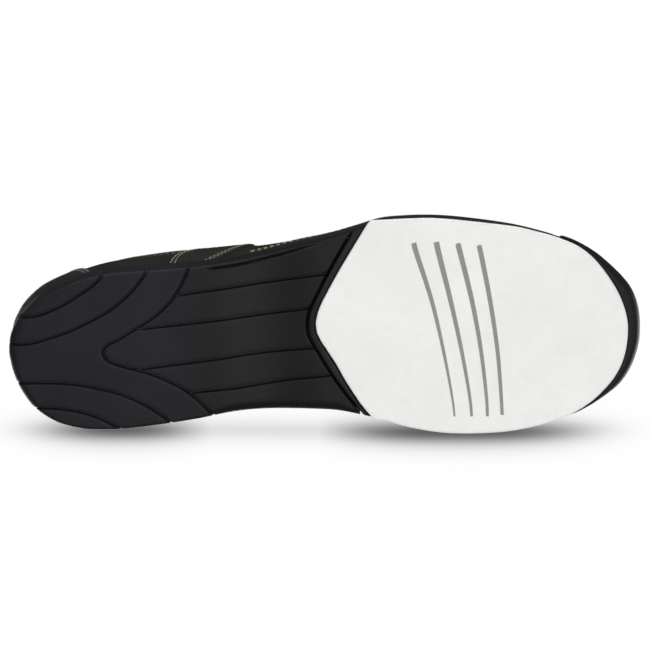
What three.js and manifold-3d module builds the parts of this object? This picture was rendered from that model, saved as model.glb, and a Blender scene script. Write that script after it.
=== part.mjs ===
// Right-foot bowling shoe, built as separate pieces.
// Frame: millimetres, +X towards the toe, +Y towards the inner (medial) side, +Z up.
// The origin is on the ground plane at HEEL_REST, the middle of the heel's level underside.
// All tables are measured from the rearmost point of the heel; one group moves the whole shoe.
import * as THREE from "three";
import { mergeVertices } from "three/addons/utils/BufferGeometryUtils.js";
import Module from "manifold-3d";

const wasm = await Module();
wasm.setup();

// ---------------------------------------------------------------- driving dimensions
const HEEL_REST = [28, 4]; // x, y
const SOLE_LENGTH = 300;
const TOE_SPRING = 13; // rise of the sole under the toe tip
const TOE_SPRING_FROM = 225;
const ARCH = { from: 97, to: 150, rise: 2 }; // lift of the underside between heel and ball
const CUP_WALL = 3; // rubber side wall of the cup
const HEEL_FLOOR = 5; // rubber under the heel
const PAD_THICK = 2.7; // sliding sole
const WEB_THICK = 3; // rubber web above the sliding sole
const FIT_GAP = 0.3;
const GROOVE_WIDTH = 1.5;
const GROOVE_DEPTH = 1.8;
const BOARD_THICK = 1.5;
const INSOLE_THICK = 3.6;
const SHANK_THICK = 1.5;
const FEATHER_LIFT = 0.9; // upper starts this far above the cup wall
const UPPER_INSET = 4.4; // feather line inside the sole outline
// inner and outer offset of each upper layer from the upper surface
const LAYER = {
  vampLining: [-4.9, -3.4],
  lining: [-4.3, -2.8],
  stiff: [-1.9, -0.95],
  base: [0, 1.2],
  over: [2.75, 3.65],
};
const COLLAR_THICK = 6.8;
const EYELET_ROWS_X = [163, 154.3, 145.6, 136.9, 128.2, 119.5];
const EYELET_HEIGHT = 0.87; // share of the way up the upper surface
const EYELET_BORE_R = 2;
const EYELET_CUT_R = 3.45;
const LACE_R = 1.1;
const KNOT_X = 117.5;
const TONGUE_THICK = 4;
const TONGUE_Y = -1.6; // centre line of tongue and knot

// ---------------------------------------------------------------- sole tables
// sole outline as [x, y]: lateral side from heel to toe, then medial side from toe to heel
const OUTLINE = [
  [0, 0], [0.9, -7.1], [3.3, -12.3], [5.7, -16.1], [10.4, -21], [15.1, -24.7], [24.6, -29.3],
  [34.1, -33.1], [46.8, -36.1], [67.2, -37.2], [87.1, -38.3], [114.5, -41.5], [138.2, -46.6],
  [152.4, -49.7], [165.6, -53.8], [178, -57.7], [190, -58.9], [200, -59], [209, -58.5],
  [218.6, -57.4], [232.8, -55.3], [242.3, -53.4], [251.7, -50.8], [261.2, -47.6], [270.7, -43.5],
  [280.1, -37.5], [289.6, -28.6], [294.7, -22.6], [297.8, -16.3], [299.6, -9], [300, -1.7],
  [299.5, 5.5], [297.6, 12.6], [294.3, 19.6], [289.6, 25.6], [280.1, 32.2], [270.7, 36.9],
  [261.2, 40], [251.7, 42.5], [242.3, 44.3], [232.8, 45.3], [223.3, 45.6], [213.9, 45.5],
  [204.4, 44.7], [195, 43.1], [185.5, 40.8], [176, 37.9], [166.6, 35.2], [152.4, 33],
  [133.4, 32.1], [112, 32.2], [100, 33.4], [90.9, 34.6], [76.7, 36.6], [62.5, 38.2], [53, 39],
  [43.5, 39.1], [34.1, 38.4], [24.6, 36], [19.9, 34], [15.1, 31], [10.4, 26.9], [7.6, 23.2],
  [4.3, 17.3], [1.9, 11], [0.5, 4.8],
];
// chevron joint between rear rubber and forefoot, as [x, y]
const CHEVRON = [
  [170.5, -64], [168.3, -60], [165.3, -55.9], [161.8, -50.2], [157.1, -42.6], [152.4, -34.5],
  [147.6, -25.7], [144.3, -19.2], [142.2, -14.2], [141.5, -9.5], [141.8, -5], [143.4, -1.1],
  [146.7, 4.8], [151.4, 13.2], [156.2, 20.7], [159.5, 25.4], [163.2, 30.4], [166.5, 35],
  [169.5, 39], [173, 44],
];
// rear edge of the sliding sole, as [x, y]
const PAD_REAR = [
  [178, -64], [174.3, -60], [171.3, -56.6], [166.6, -49.6], [161.8, -42], [157.1, -34.4],
  [152.4, -26.2], [148.6, -19.2], [146.5, -13.8], [145.7, -9.6], [146, -6], [147.6, -1.9],
  [150.5, 3], [154.7, 9.9], [158.5, 17.2], [162.8, 24.6], [166.6, 30.5], [171.3, 36.4],
  [174.5, 40], [178, 44],
];
// outline of the sliding sole as [x, y], running past its rear edge
const PAD_OUTLINE = [
  [140, -60], [172, -58.4], [190, -58.7], [200, -58.7], [209, -58], [218.6, -56.8],
  [228.1, -55.5], [242.3, -53.1], [251.7, -50.4], [261.2, -47.2], [270.7, -42.6], [277, -37.5],
  [282, -31.5], [286.3, -25], [289.6, -19], [292, -13], [293.6, -7], [294.1, -1.5], [293.6, 5],
  [292.4, 11], [290.1, 17], [286.3, 22.9], [281.5, 28], [276, 32.6], [266, 38.2], [261.2, 39.8],
  [251.7, 42.4], [242.3, 44.1], [232.8, 45.1], [223.3, 45.4], [213.9, 45.3], [204.4, 44.6],
  [195, 43], [185.5, 40.7], [176, 37.8], [140, 36],
];
// grooves of the rear rubber that run out over its edge at both ends, as [x, y]
const EDGE_GROOVES = [
  [[1, -15.6], [6.6, -16], [15.1, -17.4], [24.6, -21], [34.1, -26.5], [43.5, -33.4], [48.5, -42]],
  [[-2, -3.4], [10.4, -3.8], [19.9, -6.2], [29.3, -9.3], [38.8, -13.6], [48.3, -18.8],
    [57.7, -26.3], [64.8, -34.7], [69.5, -43]],
  [[-2, 15.5], [17.5, 15.5], [31.7, 16.8], [43.5, 19.4], [53, 22.3], [62.5, 26.9], [71.9, 33.2],
    [79, 40]],
  [[3, 29], [15.1, 27.7], [24.6, 28.4], [34.1, 30.4], [43.5, 34.1], [55, 41]],
  [[87.6, -44], [86.1, -37.9], [82.8, -30.8], [77.6, -22.8], [69.6, -15.3], [57.7, -7.9],
    [50.6, -3.8], [46.4, -1.8], [44.6, 0.6], [44.9, 3.4], [47.3, 6], [55.4, 9.1], [63.9, 11.5],
    [74.3, 15.9], [82.8, 20.8], [89.4, 26.5], [95, 32.6], [98.5, 38]],
];
// lengthwise grooves between heel and chevron, as [x, y]
const LENGTHWISE_GROOVES = [
  [[79.2, -25], [98, -27.2], [119.2, -29.7], [149.4, -33.3], [151.9, -33.6]],
  [[60.3, -9.2], [90.9, -11.8], [119.2, -14.6], [143.6, -17.2]],
  [[59.4, 10.3], [90.9, 7], [119.2, 3.8], [145.4, 1.9]],
  [[84.6, 22], [109.8, 20.1], [133.4, 17], [153, 15.2]],
];
// height of the side wall above the toe spring, as [x, height]
const WALL = [[0, 21.5], [60, 20.5], [110, 18.8], [150, 17], [190, 15.5], [240, 15], [300, 15.5]];

// ---------------------------------------------------------------- small maths
const lerp = (from, to, share) => from + (to - from) * share;
const clamp = (value, low = 0, high = 1) => Math.min(high, Math.max(low, value));
const smooth = (from, to, value) => {
  const share = clamp((value - from) / (to - from));
  return share * share * (3 - 2 * share);
};
const always = (value) => () => value;

// shape-keeping cubic through points with rising x
function cubic(xs, ys, startSlope = null) {
  const last = xs.length - 1;
  const steps = [];
  const chords = [];
  const slopes = new Array(last + 1).fill(0);
  for (let i = 0; i < last; i++) {
    steps.push(xs[i + 1] - xs[i]);
    chords.push((ys[i + 1] - ys[i]) / steps[i]);
  }
  for (let i = 1; i < last; i++) {
    if (chords[i - 1] * chords[i] <= 0) continue;
    const before = 2 * steps[i] + steps[i - 1];
    const after = steps[i] + 2 * steps[i - 1];
    slopes[i] = (before + after) / (before / chords[i - 1] + after / chords[i]);
  }
  slopes[0] = startSlope ?? chords[0];
  slopes[last] = chords[last - 1];
  return (x) => {
    if (x <= xs[0]) return ys[0];
    if (x >= xs[last]) return ys[last];
    let i = 0;
    while (x > xs[i + 1]) i++;
    const share = (x - xs[i]) / steps[i];
    const squared = share * share;
    const cubed = squared * share;
    return (2 * cubed - 3 * squared + 1) * ys[i]
      + (cubed - 2 * squared + share) * steps[i] * slopes[i]
      + (3 * squared - 2 * cubed) * ys[i + 1]
      + (cubed - squared) * steps[i] * slopes[i + 1];
  };
}
const cubicTable = (rows) => cubic(rows.map((row) => row[0]), rows.map((row) => row[1]));

// straight-line interpolation between rising keys, held at both ends
function interpolate(keys, values, key) {
  if (key <= keys[0]) return values[0];
  const i = keys.findIndex((other) => other >= key);
  if (i < 0) return values[values.length - 1];
  return lerp(values[i - 1], values[i], (key - keys[i - 1]) / (keys[i] - keys[i - 1]));
}

// ---------------------------------------------------------------- outlines
const smoothCurve = (points, closed) => new THREE.CatmullRomCurve3(
  points.map(([x, y]) => new THREE.Vector3(x, y, 0)), closed, "centripetal");

// closed smooth loop through points, sampled evenly
function loop(points, count = 720) {
  return smoothCurve(points, true).getSpacedPoints(count).slice(0, count).map((p) => [p.x, p.y]);
}

// loops run counter-clockwise seen from above, so inside is on the left
function inset(outline, distance) {
  const count = outline.length;
  return outline.map(([x, y], i) => {
    const before = outline[(i + count - 2) % count];
    const after = outline[(i + 2) % count];
    const alongX = after[0] - before[0];
    const alongY = after[1] - before[1];
    const length = Math.hypot(alongX, alongY);
    return [x - (alongY / length) * distance, y + (alongX / length) * distance];
  });
}

// lateral and medial chains of an outline, each from heel to toe, and their y at a given x
function splitSides(outline) {
  let rear = 0;
  let front = 0;
  outline.forEach(([x], i) => {
    if (x < outline[rear][0]) rear = i;
    if (x > outline[front][0]) front = i;
  });
  const count = outline.length;
  const walk = (step) => {
    const chain = [outline[rear]];
    for (let i = rear; i !== front;) {
      i = (i + step + count) % count;
      chain.push(outline[i]);
    }
    return chain;
  };
  const yAt = (chain) => {
    const xs = chain.map((p) => p[0]);
    const ys = chain.map((p) => p[1]);
    return (x) => interpolate(xs, ys, x);
  };
  const lateral = walk(1);
  const medial = walk(-1);
  return {
    rearX: outline[rear][0],
    frontX: outline[front][0],
    lateral,
    medial,
    low: yAt(lateral),
    high: yAt(medial),
  };
}
const SOLE_LOOP = loop(OUTLINE);
const ring = (distance) => splitSides(inset(SOLE_LOOP, distance));
const OUTER_RING = ring(0);
const CUP_RING = ring(CUP_WALL);

// heights along the shoe: underside and side-wall top of the sole
function toeSpring(x) {
  if (x <= TOE_SPRING_FROM) return 0;
  return TOE_SPRING * ((x - TOE_SPRING_FROM) / (SOLE_LENGTH - TOE_SPRING_FROM)) ** 1.9;
}
function underside(x) {
  if (x <= ARCH.from || x >= ARCH.to) return toeSpring(x);
  return ARCH.rise * Math.sin((Math.PI * (x - ARCH.from)) / (ARCH.to - ARCH.from)) ** 2;
}
const wallHeight = cubicTable(WALL);
const wallTop = (x) => toeSpring(x) + wallHeight(x);

// ---------------------------------------------------------------- materials
const FINISHES = {
  outsole_rubber: { color: 0x262629, roughness: 0.6 },
  slide_microfibre: { color: 0xf0f0ee, roughness: 0.95 },
  midsole_foam: { color: 0x2a2a2c, roughness: 0.85 },
  shank_steel: { color: 0x9a9ca0, roughness: 0.35, metalness: 0.9 },
  lasting_board: { color: 0xb9a98a, roughness: 0.9 },
  insole_fabric: { color: 0x2b2c30, roughness: 0.95 },
  stiffener: { color: 0xcfc6b2, roughness: 0.8 },
  upper_leather: { color: 0x232321, roughness: 0.55 },
  upper_mesh: { color: 0x1d1d1e, roughness: 0.9 },
  overlay_leather: { color: 0x2a2927, roughness: 0.5 },
  lining_fabric: { color: 0x303236, roughness: 0.95 },
  lace_cotton: { color: 0x1f1f20, roughness: 0.9 },
  eyelet_metal: { color: 0x2b2b2d, roughness: 0.35, metalness: 0.9 },
  aglet_plastic: { color: 0x111112, roughness: 0.3 },
};
const MATERIALS = {};
for (const [name, finish] of Object.entries(FINISHES)) {
  MATERIALS[name] = new THREE.MeshStandardMaterial({ name, metalness: 0, ...finish });
}

// ---------------------------------------------------------------- geometry helpers
const root = new THREE.Group();
const shoe = new THREE.Group();
shoe.position.set(-HEEL_REST[0], -HEEL_REST[1], 0);
root.add(shoe);

function put(name, geometry, material) {
  const piece = new THREE.Mesh(geometry, MATERIALS[material]);
  piece.name = name;
  shoe.add(piece);
}

function reverseFaces(index) {
  for (let i = 0; i < index.length; i += 3) {
    [index[i + 1], index[i + 2]] = [index[i + 2], index[i + 1]];
  }
}

function indexed(positions, index) {
  const geometry = new THREE.BufferGeometry();
  geometry.setAttribute("position", new THREE.BufferAttribute(positions, 3));
  geometry.setIndex(index);
  return geometry;
}

// A one-cell-thick box of cells carried through a map from three shares in 0..1 to a point.
// openEnd drops the face at first share 1, where both halves of a folded sheet meet.
function warp(map, [cellsAlong, cellsAcross], openEnd = false) {
  const box = new THREE.BoxGeometry(1, 1, 1, cellsAlong, cellsAcross, 1);
  const boxIndex = Array.from(box.index.array);
  if (openEnd) boxIndex.splice(box.groups[0].start, box.groups[0].count);
  const source = box.attributes.position;
  const points = new Float32Array(source.count * 3);
  for (let i = 0; i < source.count; i++) {
    points.set(map(source.getX(i) + 0.5, source.getY(i) + 0.5, source.getZ(i) + 0.5), i * 3);
  }
  const geometry = mergeVertices(indexed(points, boxIndex), 1e-3);
  const merged = geometry.index.array;
  const index = [];
  for (let i = 0; i < merged.length; i += 3) {
    const corners = [merged[i], merged[i + 1], merged[i + 2]];
    if (new Set(corners).size === 3) index.push(...corners);
  }
  geometry.setIndex(index);
  if (volume(geometry) < 0) {
    reverseFaces(index);
    geometry.setIndex(index);
  }
  return geometry;
}

function volume(geometry) {
  const index = geometry.index.array;
  const corner = (i) => new THREE.Vector3()
    .fromBufferAttribute(geometry.attributes.position, index[i]);
  let total = 0;
  for (let i = 0; i < index.length; i += 3) {
    total += corner(i).dot(corner(i + 1).cross(corner(i + 2))) / 6;
  }
  return total;
}

function toManifold(geometry) {
  const flat = geometry.index ? geometry.toNonIndexed() : geometry;
  const bare = new THREE.BufferGeometry();
  bare.setAttribute("position", flat.getAttribute("position"));
  const merged = mergeVertices(bare, 1e-3);
  return new wasm.Manifold(new wasm.Mesh({
    numProp: 3,
    vertProperties: Float32Array.from(merged.attributes.position.array),
    triVerts: Uint32Array.from(merged.index.array),
  }));
}

function cut(geometry, ...tools) {
  const body = tools.reduce((rest, tool) => rest.subtract(toManifold(tool)), toManifold(geometry));
  const result = body.getMesh();
  return indexed(Float32Array.from(result.vertProperties), Array.from(result.triVerts));
}

// station spacing of a slab, by the end where stations lie closer together
const SPACING = {
  rear: (share) => 1 - Math.cos((share * Math.PI) / 2),
  front: (share) => Math.sin((share * Math.PI) / 2),
  both: (share) => (1 - Math.cos(share * Math.PI)) / 2,
};

// slab between two z surfaces inside an outline, from a rear boundary to a front boundary
function slab({ outline, rear, front, bottom, top, cells, finer }) {
  return warp((along, across, up) => {
    const x = lerp(rear(across), front(across), SPACING[finer](along));
    const y = lerp(outline.low(x), outline.high(x), across);
    return [x, y, lerp(bottom(x), top(x), up)];
  }, cells);
}

// x of a boundary line, moved by shift, at a share of the outline's width
function boundary(outline, line, shift = 0) {
  const byY = line.map(([x, y]) => [y, x + shift]).sort((a, b) => a[0] - b[0]);
  const xAt = cubicTable(byY);
  return (across) => {
    let x = 150;
    for (let i = 0; i < 40; i++) {
      x = lerp(x, xAt(lerp(outline.low(x), outline.high(x), across)), 0.6);
    }
    return x;
  };
}

// ---------------------------------------------------------------- outsole
const END_TRIM = 0.25; // slabs stop this far short of an outline's end, where its width is nil
const CUT_OVER = 3; // cup cutters pass this far above the wall
const GROOVE_FLOOR = -2; // groove cutters start this far below the ground
const NOTCH = { inset: 1.2, length: 8, top: 9, step: 0.1, maxSteps: 400 };
const NOTCH_RING = ring(NOTCH.inset);
const rearEnd = (outline) => always(outline.rearX + END_TRIM);
const frontEnd = (outline) => always(outline.frontX - END_TRIM);

function groove(points) {
  const curve = smoothCurve(points, false);
  const count = Math.max(4, points.length - 1);
  return warp((along, across, up) => {
    const share = Math.round(along * count) / count;
    const centre = curve.getPoint(share);
    const tangent = curve.getTangent(share);
    const sideways = (across - 0.5) * GROOVE_WIDTH;
    return [
      centre.x - tangent.y * sideways,
      centre.y + tangent.x * sideways,
      up < 0.5 ? GROOVE_FLOOR : underside(centre.x) + GROOVE_DEPTH,
    ];
  }, [count, 1]);
}

// where a groove runs out over the edge it carries on up the side wall
function sideNotch([end, previous]) {
  const length = Math.hypot(end[0] - previous[0], end[1] - previous[1]);
  const outX = (end[0] - previous[0]) / length;
  const outY = (end[1] - previous[1]) / length;
  // walk out along the groove line to the inset outline
  let [startX, startY] = previous;
  for (let i = 0; i < NOTCH.maxSteps; i++) {
    const x = startX + outX * NOTCH.step;
    const y = startY + outY * NOTCH.step;
    if (x <= NOTCH_RING.rearX || y < NOTCH_RING.low(x) || y > NOTCH_RING.high(x)) break;
    [startX, startY] = [x, y];
  }
  return warp((along, across, up) => {
    const forward = NOTCH.length * along;
    const sideways = (across - 0.5) * GROOVE_WIDTH;
    return [
      startX + outX * forward - outY * sideways,
      startY + outY * forward + outX * sideways,
      lerp(GROOVE_FLOOR, NOTCH.top, up),
    ];
  }, [1, 1]);
}

function heelOutsole() {
  const body = slab({
    outline: OUTER_RING,
    rear: rearEnd(OUTER_RING),
    front: boundary(OUTER_RING, CHEVRON, -0.6),
    bottom: underside,
    top: wallTop,
    cells: [13, 8],
    finer: "rear",
  });
  const cup = slab({
    outline: CUP_RING,
    rear: rearEnd(CUP_RING),
    front: boundary(CUP_RING, CHEVRON, 6),
    bottom: (x) => underside(x) + HEEL_FLOOR,
    top: (x) => wallTop(x) + CUT_OVER,
    cells: [16, 3],
    finer: "rear",
  });
  const grooves = [...EDGE_GROOVES, ...LENGTHWISE_GROOVES].map(groove);
  const notches = EDGE_GROOVES.flatMap((points) => [
    sideNotch(points.slice(-2).reverse()),
    sideNotch(points.slice(0, 2)),
  ]);
  return cut(body, cup, ...grooves, ...notches);
}

const PAD_LOOP = loop(PAD_OUTLINE);
const PAD_RING = splitSides(PAD_LOOP);
const padTop = (x) => underside(x) + PAD_THICK;

// Room for the sliding sole: open through both sides at the rear, closing in to the pad's
// own outline towards the toe.
function padRecess() {
  const sideClearance = 0.35;
  const overrun = 4;
  const [closeFrom, closeTo] = [262, 272];
  const padRoom = splitSides(inset(PAD_LOOP, -sideClearance));
  const edge = (soleY, padY, extra) => (x) => x < closeFrom
    ? soleY(x) + extra
    : lerp(soleY(closeFrom) + extra, padY(x), smooth(closeFrom, closeTo, x));
  return slab({
    outline: {
      low: edge(OUTER_RING.low, padRoom.low, -overrun),
      high: edge(OUTER_RING.high, padRoom.high, overrun),
    },
    rear: boundary(OUTER_RING, PAD_REAR, -0.75),
    front: frontEnd(padRoom),
    bottom: always(-4),
    top: (x) => padTop(x) + FIT_GAP,
    cells: [14, 8],
    finer: "front",
  });
}

function forefootOutsole() {
  const body = slab({
    outline: OUTER_RING,
    rear: boundary(OUTER_RING, CHEVRON, 0.7),
    front: frontEnd(OUTER_RING),
    bottom: underside,
    top: wallTop,
    cells: [14, 8],
    finer: "front",
  });
  const cup = slab({
    outline: CUP_RING,
    rear: boundary(CUP_RING, CHEVRON, -9),
    front: frontEnd(CUP_RING),
    bottom: (x) => padTop(x) + FIT_GAP + WEB_THICK,
    top: (x) => wallTop(x) + CUT_OVER,
    cells: [12, 3],
    finer: "front",
  });
  return cut(body, cup, padRecess());
}

function slidePad() {
  return slab({
    outline: PAD_RING,
    rear: boundary(PAD_RING, PAD_REAR),
    front: frontEnd(PAD_RING),
    bottom: underside,
    top: padTop,
    cells: [14, 8],
    finer: "front",
  });
}
put("heel_outsole", heelOutsole(), "outsole_rubber");
put("forefoot_outsole", forefootOutsole(), "outsole_rubber");
put("slide_pad", slidePad(), "slide_microfibre");

// ---------------------------------------------------------------- inside the cup
// depths below the side-wall top
const MIDSOLE_DROP = 6;
const BOARD_DROP = MIDSOLE_DROP - FIT_GAP;
const INSOLE_DROP = BOARD_DROP - BOARD_THICK - FIT_GAP;
const CUP_CLEARANCE = { midsole: 0.7, board: 0.8, insole: 1 }; // to the inside of the cup wall
const SHANK_BAY = { x: [57, 151], y: [-15.3, 11.3], depth: SHANK_THICK + 2 * FIT_GAP };
const SHANK = { x: [58, 150], y: -2, halfWidth: 12.6 };
const midsoleTop = (x) => wallTop(x) - MIDSOLE_DROP;

function cupFilling(clearance, bottom, top, cells) {
  const outline = ring(CUP_WALL + clearance);
  const rear = rearEnd(outline);
  const front = frontEnd(outline);
  return slab({ outline, rear, front, bottom, top, cells, finer: "both" });
}

function midsole() {
  const bottom = (x) => underside(x) + PAD_THICK + WEB_THICK + 4 * FIT_GAP;
  const body = cupFilling(CUP_CLEARANCE.midsole, bottom, midsoleTop, [22, 4]);
  const bay = warp((along, across, up) => {
    const x = lerp(...SHANK_BAY.x, along);
    const z = midsoleTop(x) + lerp(-SHANK_BAY.depth, 2, up);
    return [x, lerp(...SHANK_BAY.y, across), z];
  }, [6, 1]);
  return cut(body, bay);
}

function shankPlate() {
  return warp((along, across, up) => {
    const x = lerp(...SHANK.x, along);
    const taper = 0.72 + 0.28 * Math.sin(Math.PI * clamp(along, 0.03, 0.97)) ** 0.25;
    const y = SHANK.y + (across - 0.5) * 2 * SHANK.halfWidth * taper;
    return [x, y, midsoleTop(x) - FIT_GAP - SHANK_THICK * (1 - up)];
  }, [8, 2]);
}

// layer of even thickness, its underside a set depth below the wall top
function cupLayer(clearance, drop, thick, cells) {
  const bottom = (x) => wallTop(x) - drop;
  return cupFilling(clearance, bottom, (x) => bottom(x) + thick, cells);
}
const lastingBoard = cupLayer(CUP_CLEARANCE.board, BOARD_DROP, BOARD_THICK, [20, 2]);
const insole = cupLayer(CUP_CLEARANCE.insole, INSOLE_DROP, INSOLE_THICK, [20, 4]);
put("midsole", midsole(), "midsole_foam");
put("shank_plate", shankPlate(), "shank_steel");
put("lasting_board", lastingBoard, "lasting_board");
put("insole", insole, "insole_fabric");

// ---------------------------------------------------------------- upper surface
// Each side is a sheet. A point on it has a share (0 at the heel, 1 at the toe, by length of
// the feather line) and a height (0 at the feather line, 1 at the edge line). The edge line
// is the collar, then the lace edge, then the crest of the vamp, which both sides share.
const MEDIAL = 1; // a side's number is the sign of its y
const LATERAL = -1;
const SIDE_NAMES = [[LATERAL, "lateral"], [MEDIAL, "medial"]];
const FEATHER = ring(UPPER_INSET);
const CREST_ROW = 12; // station where the crest starts
const STATIONS = [
  // [feather x, edge x, edge half width, edge centre y, edge z, spread in degrees,
  //  medial bulge, lateral bulge]
  [-1, 8.5, 0, 1.5, 77, 14, 2.4, 2.4],
  [8, 10.8, 8.15, 2.15, 76.4, 14, 2.8, 2],
  [20, 19.5, 17.7, 3.1, 74, 15, 3, 1.8],
  [40, 38, 26, 2.8, 69, 17, 3, 2.1],
  [62, 60, 30.5, 0.9, 65.5, 19, 3, 2.6],
  [85, 82, 31, -0.5, 68.5, 22, 3, 2.7],
  [105, 99, 28.5, -1.6, 78, 30, 2.6, 1.9],
  [120, 111, 24, -2, 88.5, 42, 2, 1.6],
  [135, 124, 20, -2, 86, 54, 1.6, 1.5],
  [150, 140, 17.5, -2, 77.5, 62, 1.6, 1.3],
  [165, 156, 15.5, -2, 70, 68, 1.8, 1],
  [180, 170, 11, -1.6, 64.2, 78, 2, 0.8],
  [192, 179.5, 0, -1, 61.2, 90, 2, 0.6],
  [215, 200, 0, 0, 55.5, 90, 2.4, 0.6],
  [240, 220, 0, 0.4, 50.8, 90, 2.4, 0.4],
  [262, 236, 0, 0, 47.2, 90, 2, 0.2],
  [280, 250, 0, -0.5, 43.8, 90, 1.6, 0.1],
  [291, 260, 0, -0.8, 41, 90, 1, 0.2],
  [400, 266, 0, -1, 39, 90, 0.4, 0.4],
];

function makeSide(side) {
  const chain = side === MEDIAL ? FEATHER.medial : FEATHER.lateral;
  const xs = chain.map((p) => p[0]);
  const ys = chain.map((p) => p[1]);
  const lengths = [0];
  for (let i = 1; i < chain.length; i++) {
    lengths.push(lengths[i - 1] + Math.hypot(xs[i] - xs[i - 1], ys[i] - ys[i - 1]));
  }
  const total = lengths[lengths.length - 1];
  const feather = (share) => {
    const length = clamp(share) * total;
    return [interpolate(lengths, xs, length), interpolate(lengths, ys, length)];
  };
  const shareAt = (x) => interpolate(xs, lengths, x) / total;
  const shares = STATIONS.map((row) => shareAt(row[0]));
  const column = (i, startSlope) => cubic(shares, STATIONS.map((row) => row[i]), startSlope);
  return {
    feather,
    shareAt,
    crestStart: shares[CREST_ROW],
    edgeX: column(1, 0),
    edgeY: cubic(shares, STATIONS.map((row) => row[3] + side * row[2])),
    edgeZ: column(4, 0),
    spread: column(5),
    bulge: column(side === MEDIAL ? 6 : 7),
  };
}
const SIDES = { [MEDIAL]: makeSide(MEDIAL), [LATERAL]: makeSide(LATERAL) };

// share by feather-line x
const shareAt = (side, x) => SIDES[side].shareAt(x);

// share by edge-line x
function shareAtEdge(side, x) {
  let low = 0;
  let high = 1;
  for (let i = 0; i < 40; i++) {
    const middle = (low + high) / 2;
    if (SIDES[side].edgeX(middle) < x) low = middle;
    else high = middle;
  }
  return (low + high) / 2;
}

// direction in which the sheet bulges, square to the feather line
function outward(side, share) {
  const reach = 0.004;
  if (share <= reach / 2) return [-1, 0];
  if (share >= 1 - reach / 2) return [1, 0];
  const before = SIDES[side].feather(clamp(share - reach));
  const after = SIDES[side].feather(clamp(share + reach));
  const alongX = after[0] - before[0];
  const alongY = after[1] - before[1];
  const length = Math.hypot(alongX, alongY);
  return [(alongY / length) * -side, (-alongX / length) * -side];
}

// slope of the crest line at a share; none behind the crest
function crestSlope(side, share) {
  const { crestStart, edgeX, edgeZ } = SIDES[side];
  if (share <= crestStart) return 0;
  const before = share - 0.01;
  const after = Math.min(1, share + 0.01);
  return (edgeZ(after) - edgeZ(before)) / (edgeX(after) - edgeX(before));
}

function sheetPoint(side, share, height) {
  const line = SIDES[side];
  const [footX, footY] = line.feather(share);
  const edgeX = line.edgeX(share);
  const spread = (line.spread(share) * Math.PI) / 180;
  const angle = height * spread;
  const inwards = (1 - Math.cos(angle)) / (1 - Math.cos(spread));
  const upwards = Math.sin(angle) / Math.sin(spread);
  const [outX, outY] = outward(side, share);
  const bulge = line.bulge(share) * Math.sin(Math.PI * height ** 0.8);
  // near the crest the sheet follows the crest's own slope
  const follow = smooth(line.crestStart, line.crestStart + 0.1, share) * crestSlope(side, share);
  return [
    lerp(footX, edgeX, inwards) + outX * bulge,
    lerp(footY, line.edgeY(share), inwards) + outY * bulge,
    lerp(wallTop(footX) + FEATHER_LIFT, line.edgeZ(share), upwards)
      + follow * (edgeX - footX) * (inwards - 1) * inwards * inwards,
  ];
}

const vector = (point) => new THREE.Vector3(...point);

function sideNormal(side, share, height) {
  const shareStep = 0.006;
  const heightStep = 0.012;
  const along = vector(sheetPoint(side, clamp(share + shareStep), height))
    .sub(vector(sheetPoint(side, clamp(share - shareStep), height)));
  const up = vector(sheetPoint(side, share, clamp(height + heightStep)))
    .sub(vector(sheetPoint(side, share, clamp(height - heightStep))));
  return along.cross(up).multiplyScalar(-side).normalize();
}

// outward normal, averaged over both sides where they meet
function sheetNormal(side, share, height) {
  // the crest ends here, where the sheet's two directions meet
  if (share > 0.99 && height > 0.98) share = 0.985;
  const normal = sideNormal(side, share, height);
  const atEnd = share < 0.004 || share > 0.996;
  if (atEnd || (height > 0.985 && share >= SIDES[side].crestStart - 1e-6)) {
    const otherShare = atEnd ? share : shareAtEdge(-side, SIDES[side].edgeX(share));
    normal.add(sideNormal(-side, otherShare, height)).normalize();
  }
  return normal;
}

// point on the sheet, moved out along its normal; shared lines always use the medial side
function onSheet(side, share, height, offset) {
  if (share >= 0.9999 || share <= 0.0001) side = MEDIAL;
  if (side === LATERAL && height >= 0.9999 && share >= SIDES[side].crestStart) {
    share = shareAtEdge(MEDIAL, SIDES[LATERAL].edgeX(share));
    side = MEDIAL;
  }
  const normal = sheetNormal(side, share, height);
  return vector(sheetPoint(side, share, height)).addScaledVector(normal, offset).toArray();
}

// joint line between quarters and vamp, and the share left clear on each side of it
const JOINT_GAP = 0.0022;
const joint = (side, height) =>
  lerp(shareAt(side, 128), SIDES[side].crestStart, height ** 1.2);
const jointRear = (side, height) => joint(side, height) - JOINT_GAP;
const jointFront = (side, height) => joint(side, height) + JOINT_GAP;

// one-sided panel; its ends may vary with height, its bottom and top along its length
function panel(side, { from, to, bottom, top, layer, cells }) {
  return warp((along, up, out) => {
    const height = lerp(bottom(along), top(along), up);
    const share = lerp(from(height), to(height), along);
    return onSheet(side, share, height, lerp(...layer, out));
  }, cells);
}

// Band round the heel (centre 0) or the toe (centre 1), from the lateral to the medial side.
// end gives its limit on a side; bottom and top take -1 (lateral end) to 1 (medial end).
function band({ centre, end, bottom, top, layer, cells }) {
  return warp((along, up, out) => {
    const around = along * 2 - 1;
    const side = around < 0 ? LATERAL : MEDIAL;
    const height = lerp(bottom(around), top(around), up);
    const share = lerp(centre, end(side, height), Math.abs(around));
    return onSheet(side, share, height, lerp(...layer, out));
  }, cells);
}

// whole front, folded at the toe, from a rear limit on each side over the crest
function hood(rear, layer, cells) {
  return warp((along, across, out) => {
    const around = Math.round((across * 2 - 1) * 1e6) / 1e6;
    const side = around < 0 ? LATERAL : MEDIAL;
    const height = 1 - Math.abs(around);
    const spaced = lerp(along, Math.sin((along * Math.PI) / 2), 0.5);
    const share = along > 0.99999 ? 1 : lerp(rear(side, height), 1, spaced);
    return onSheet(side, share, height, lerp(...layer, out));
  }, cells, true);
}

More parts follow.
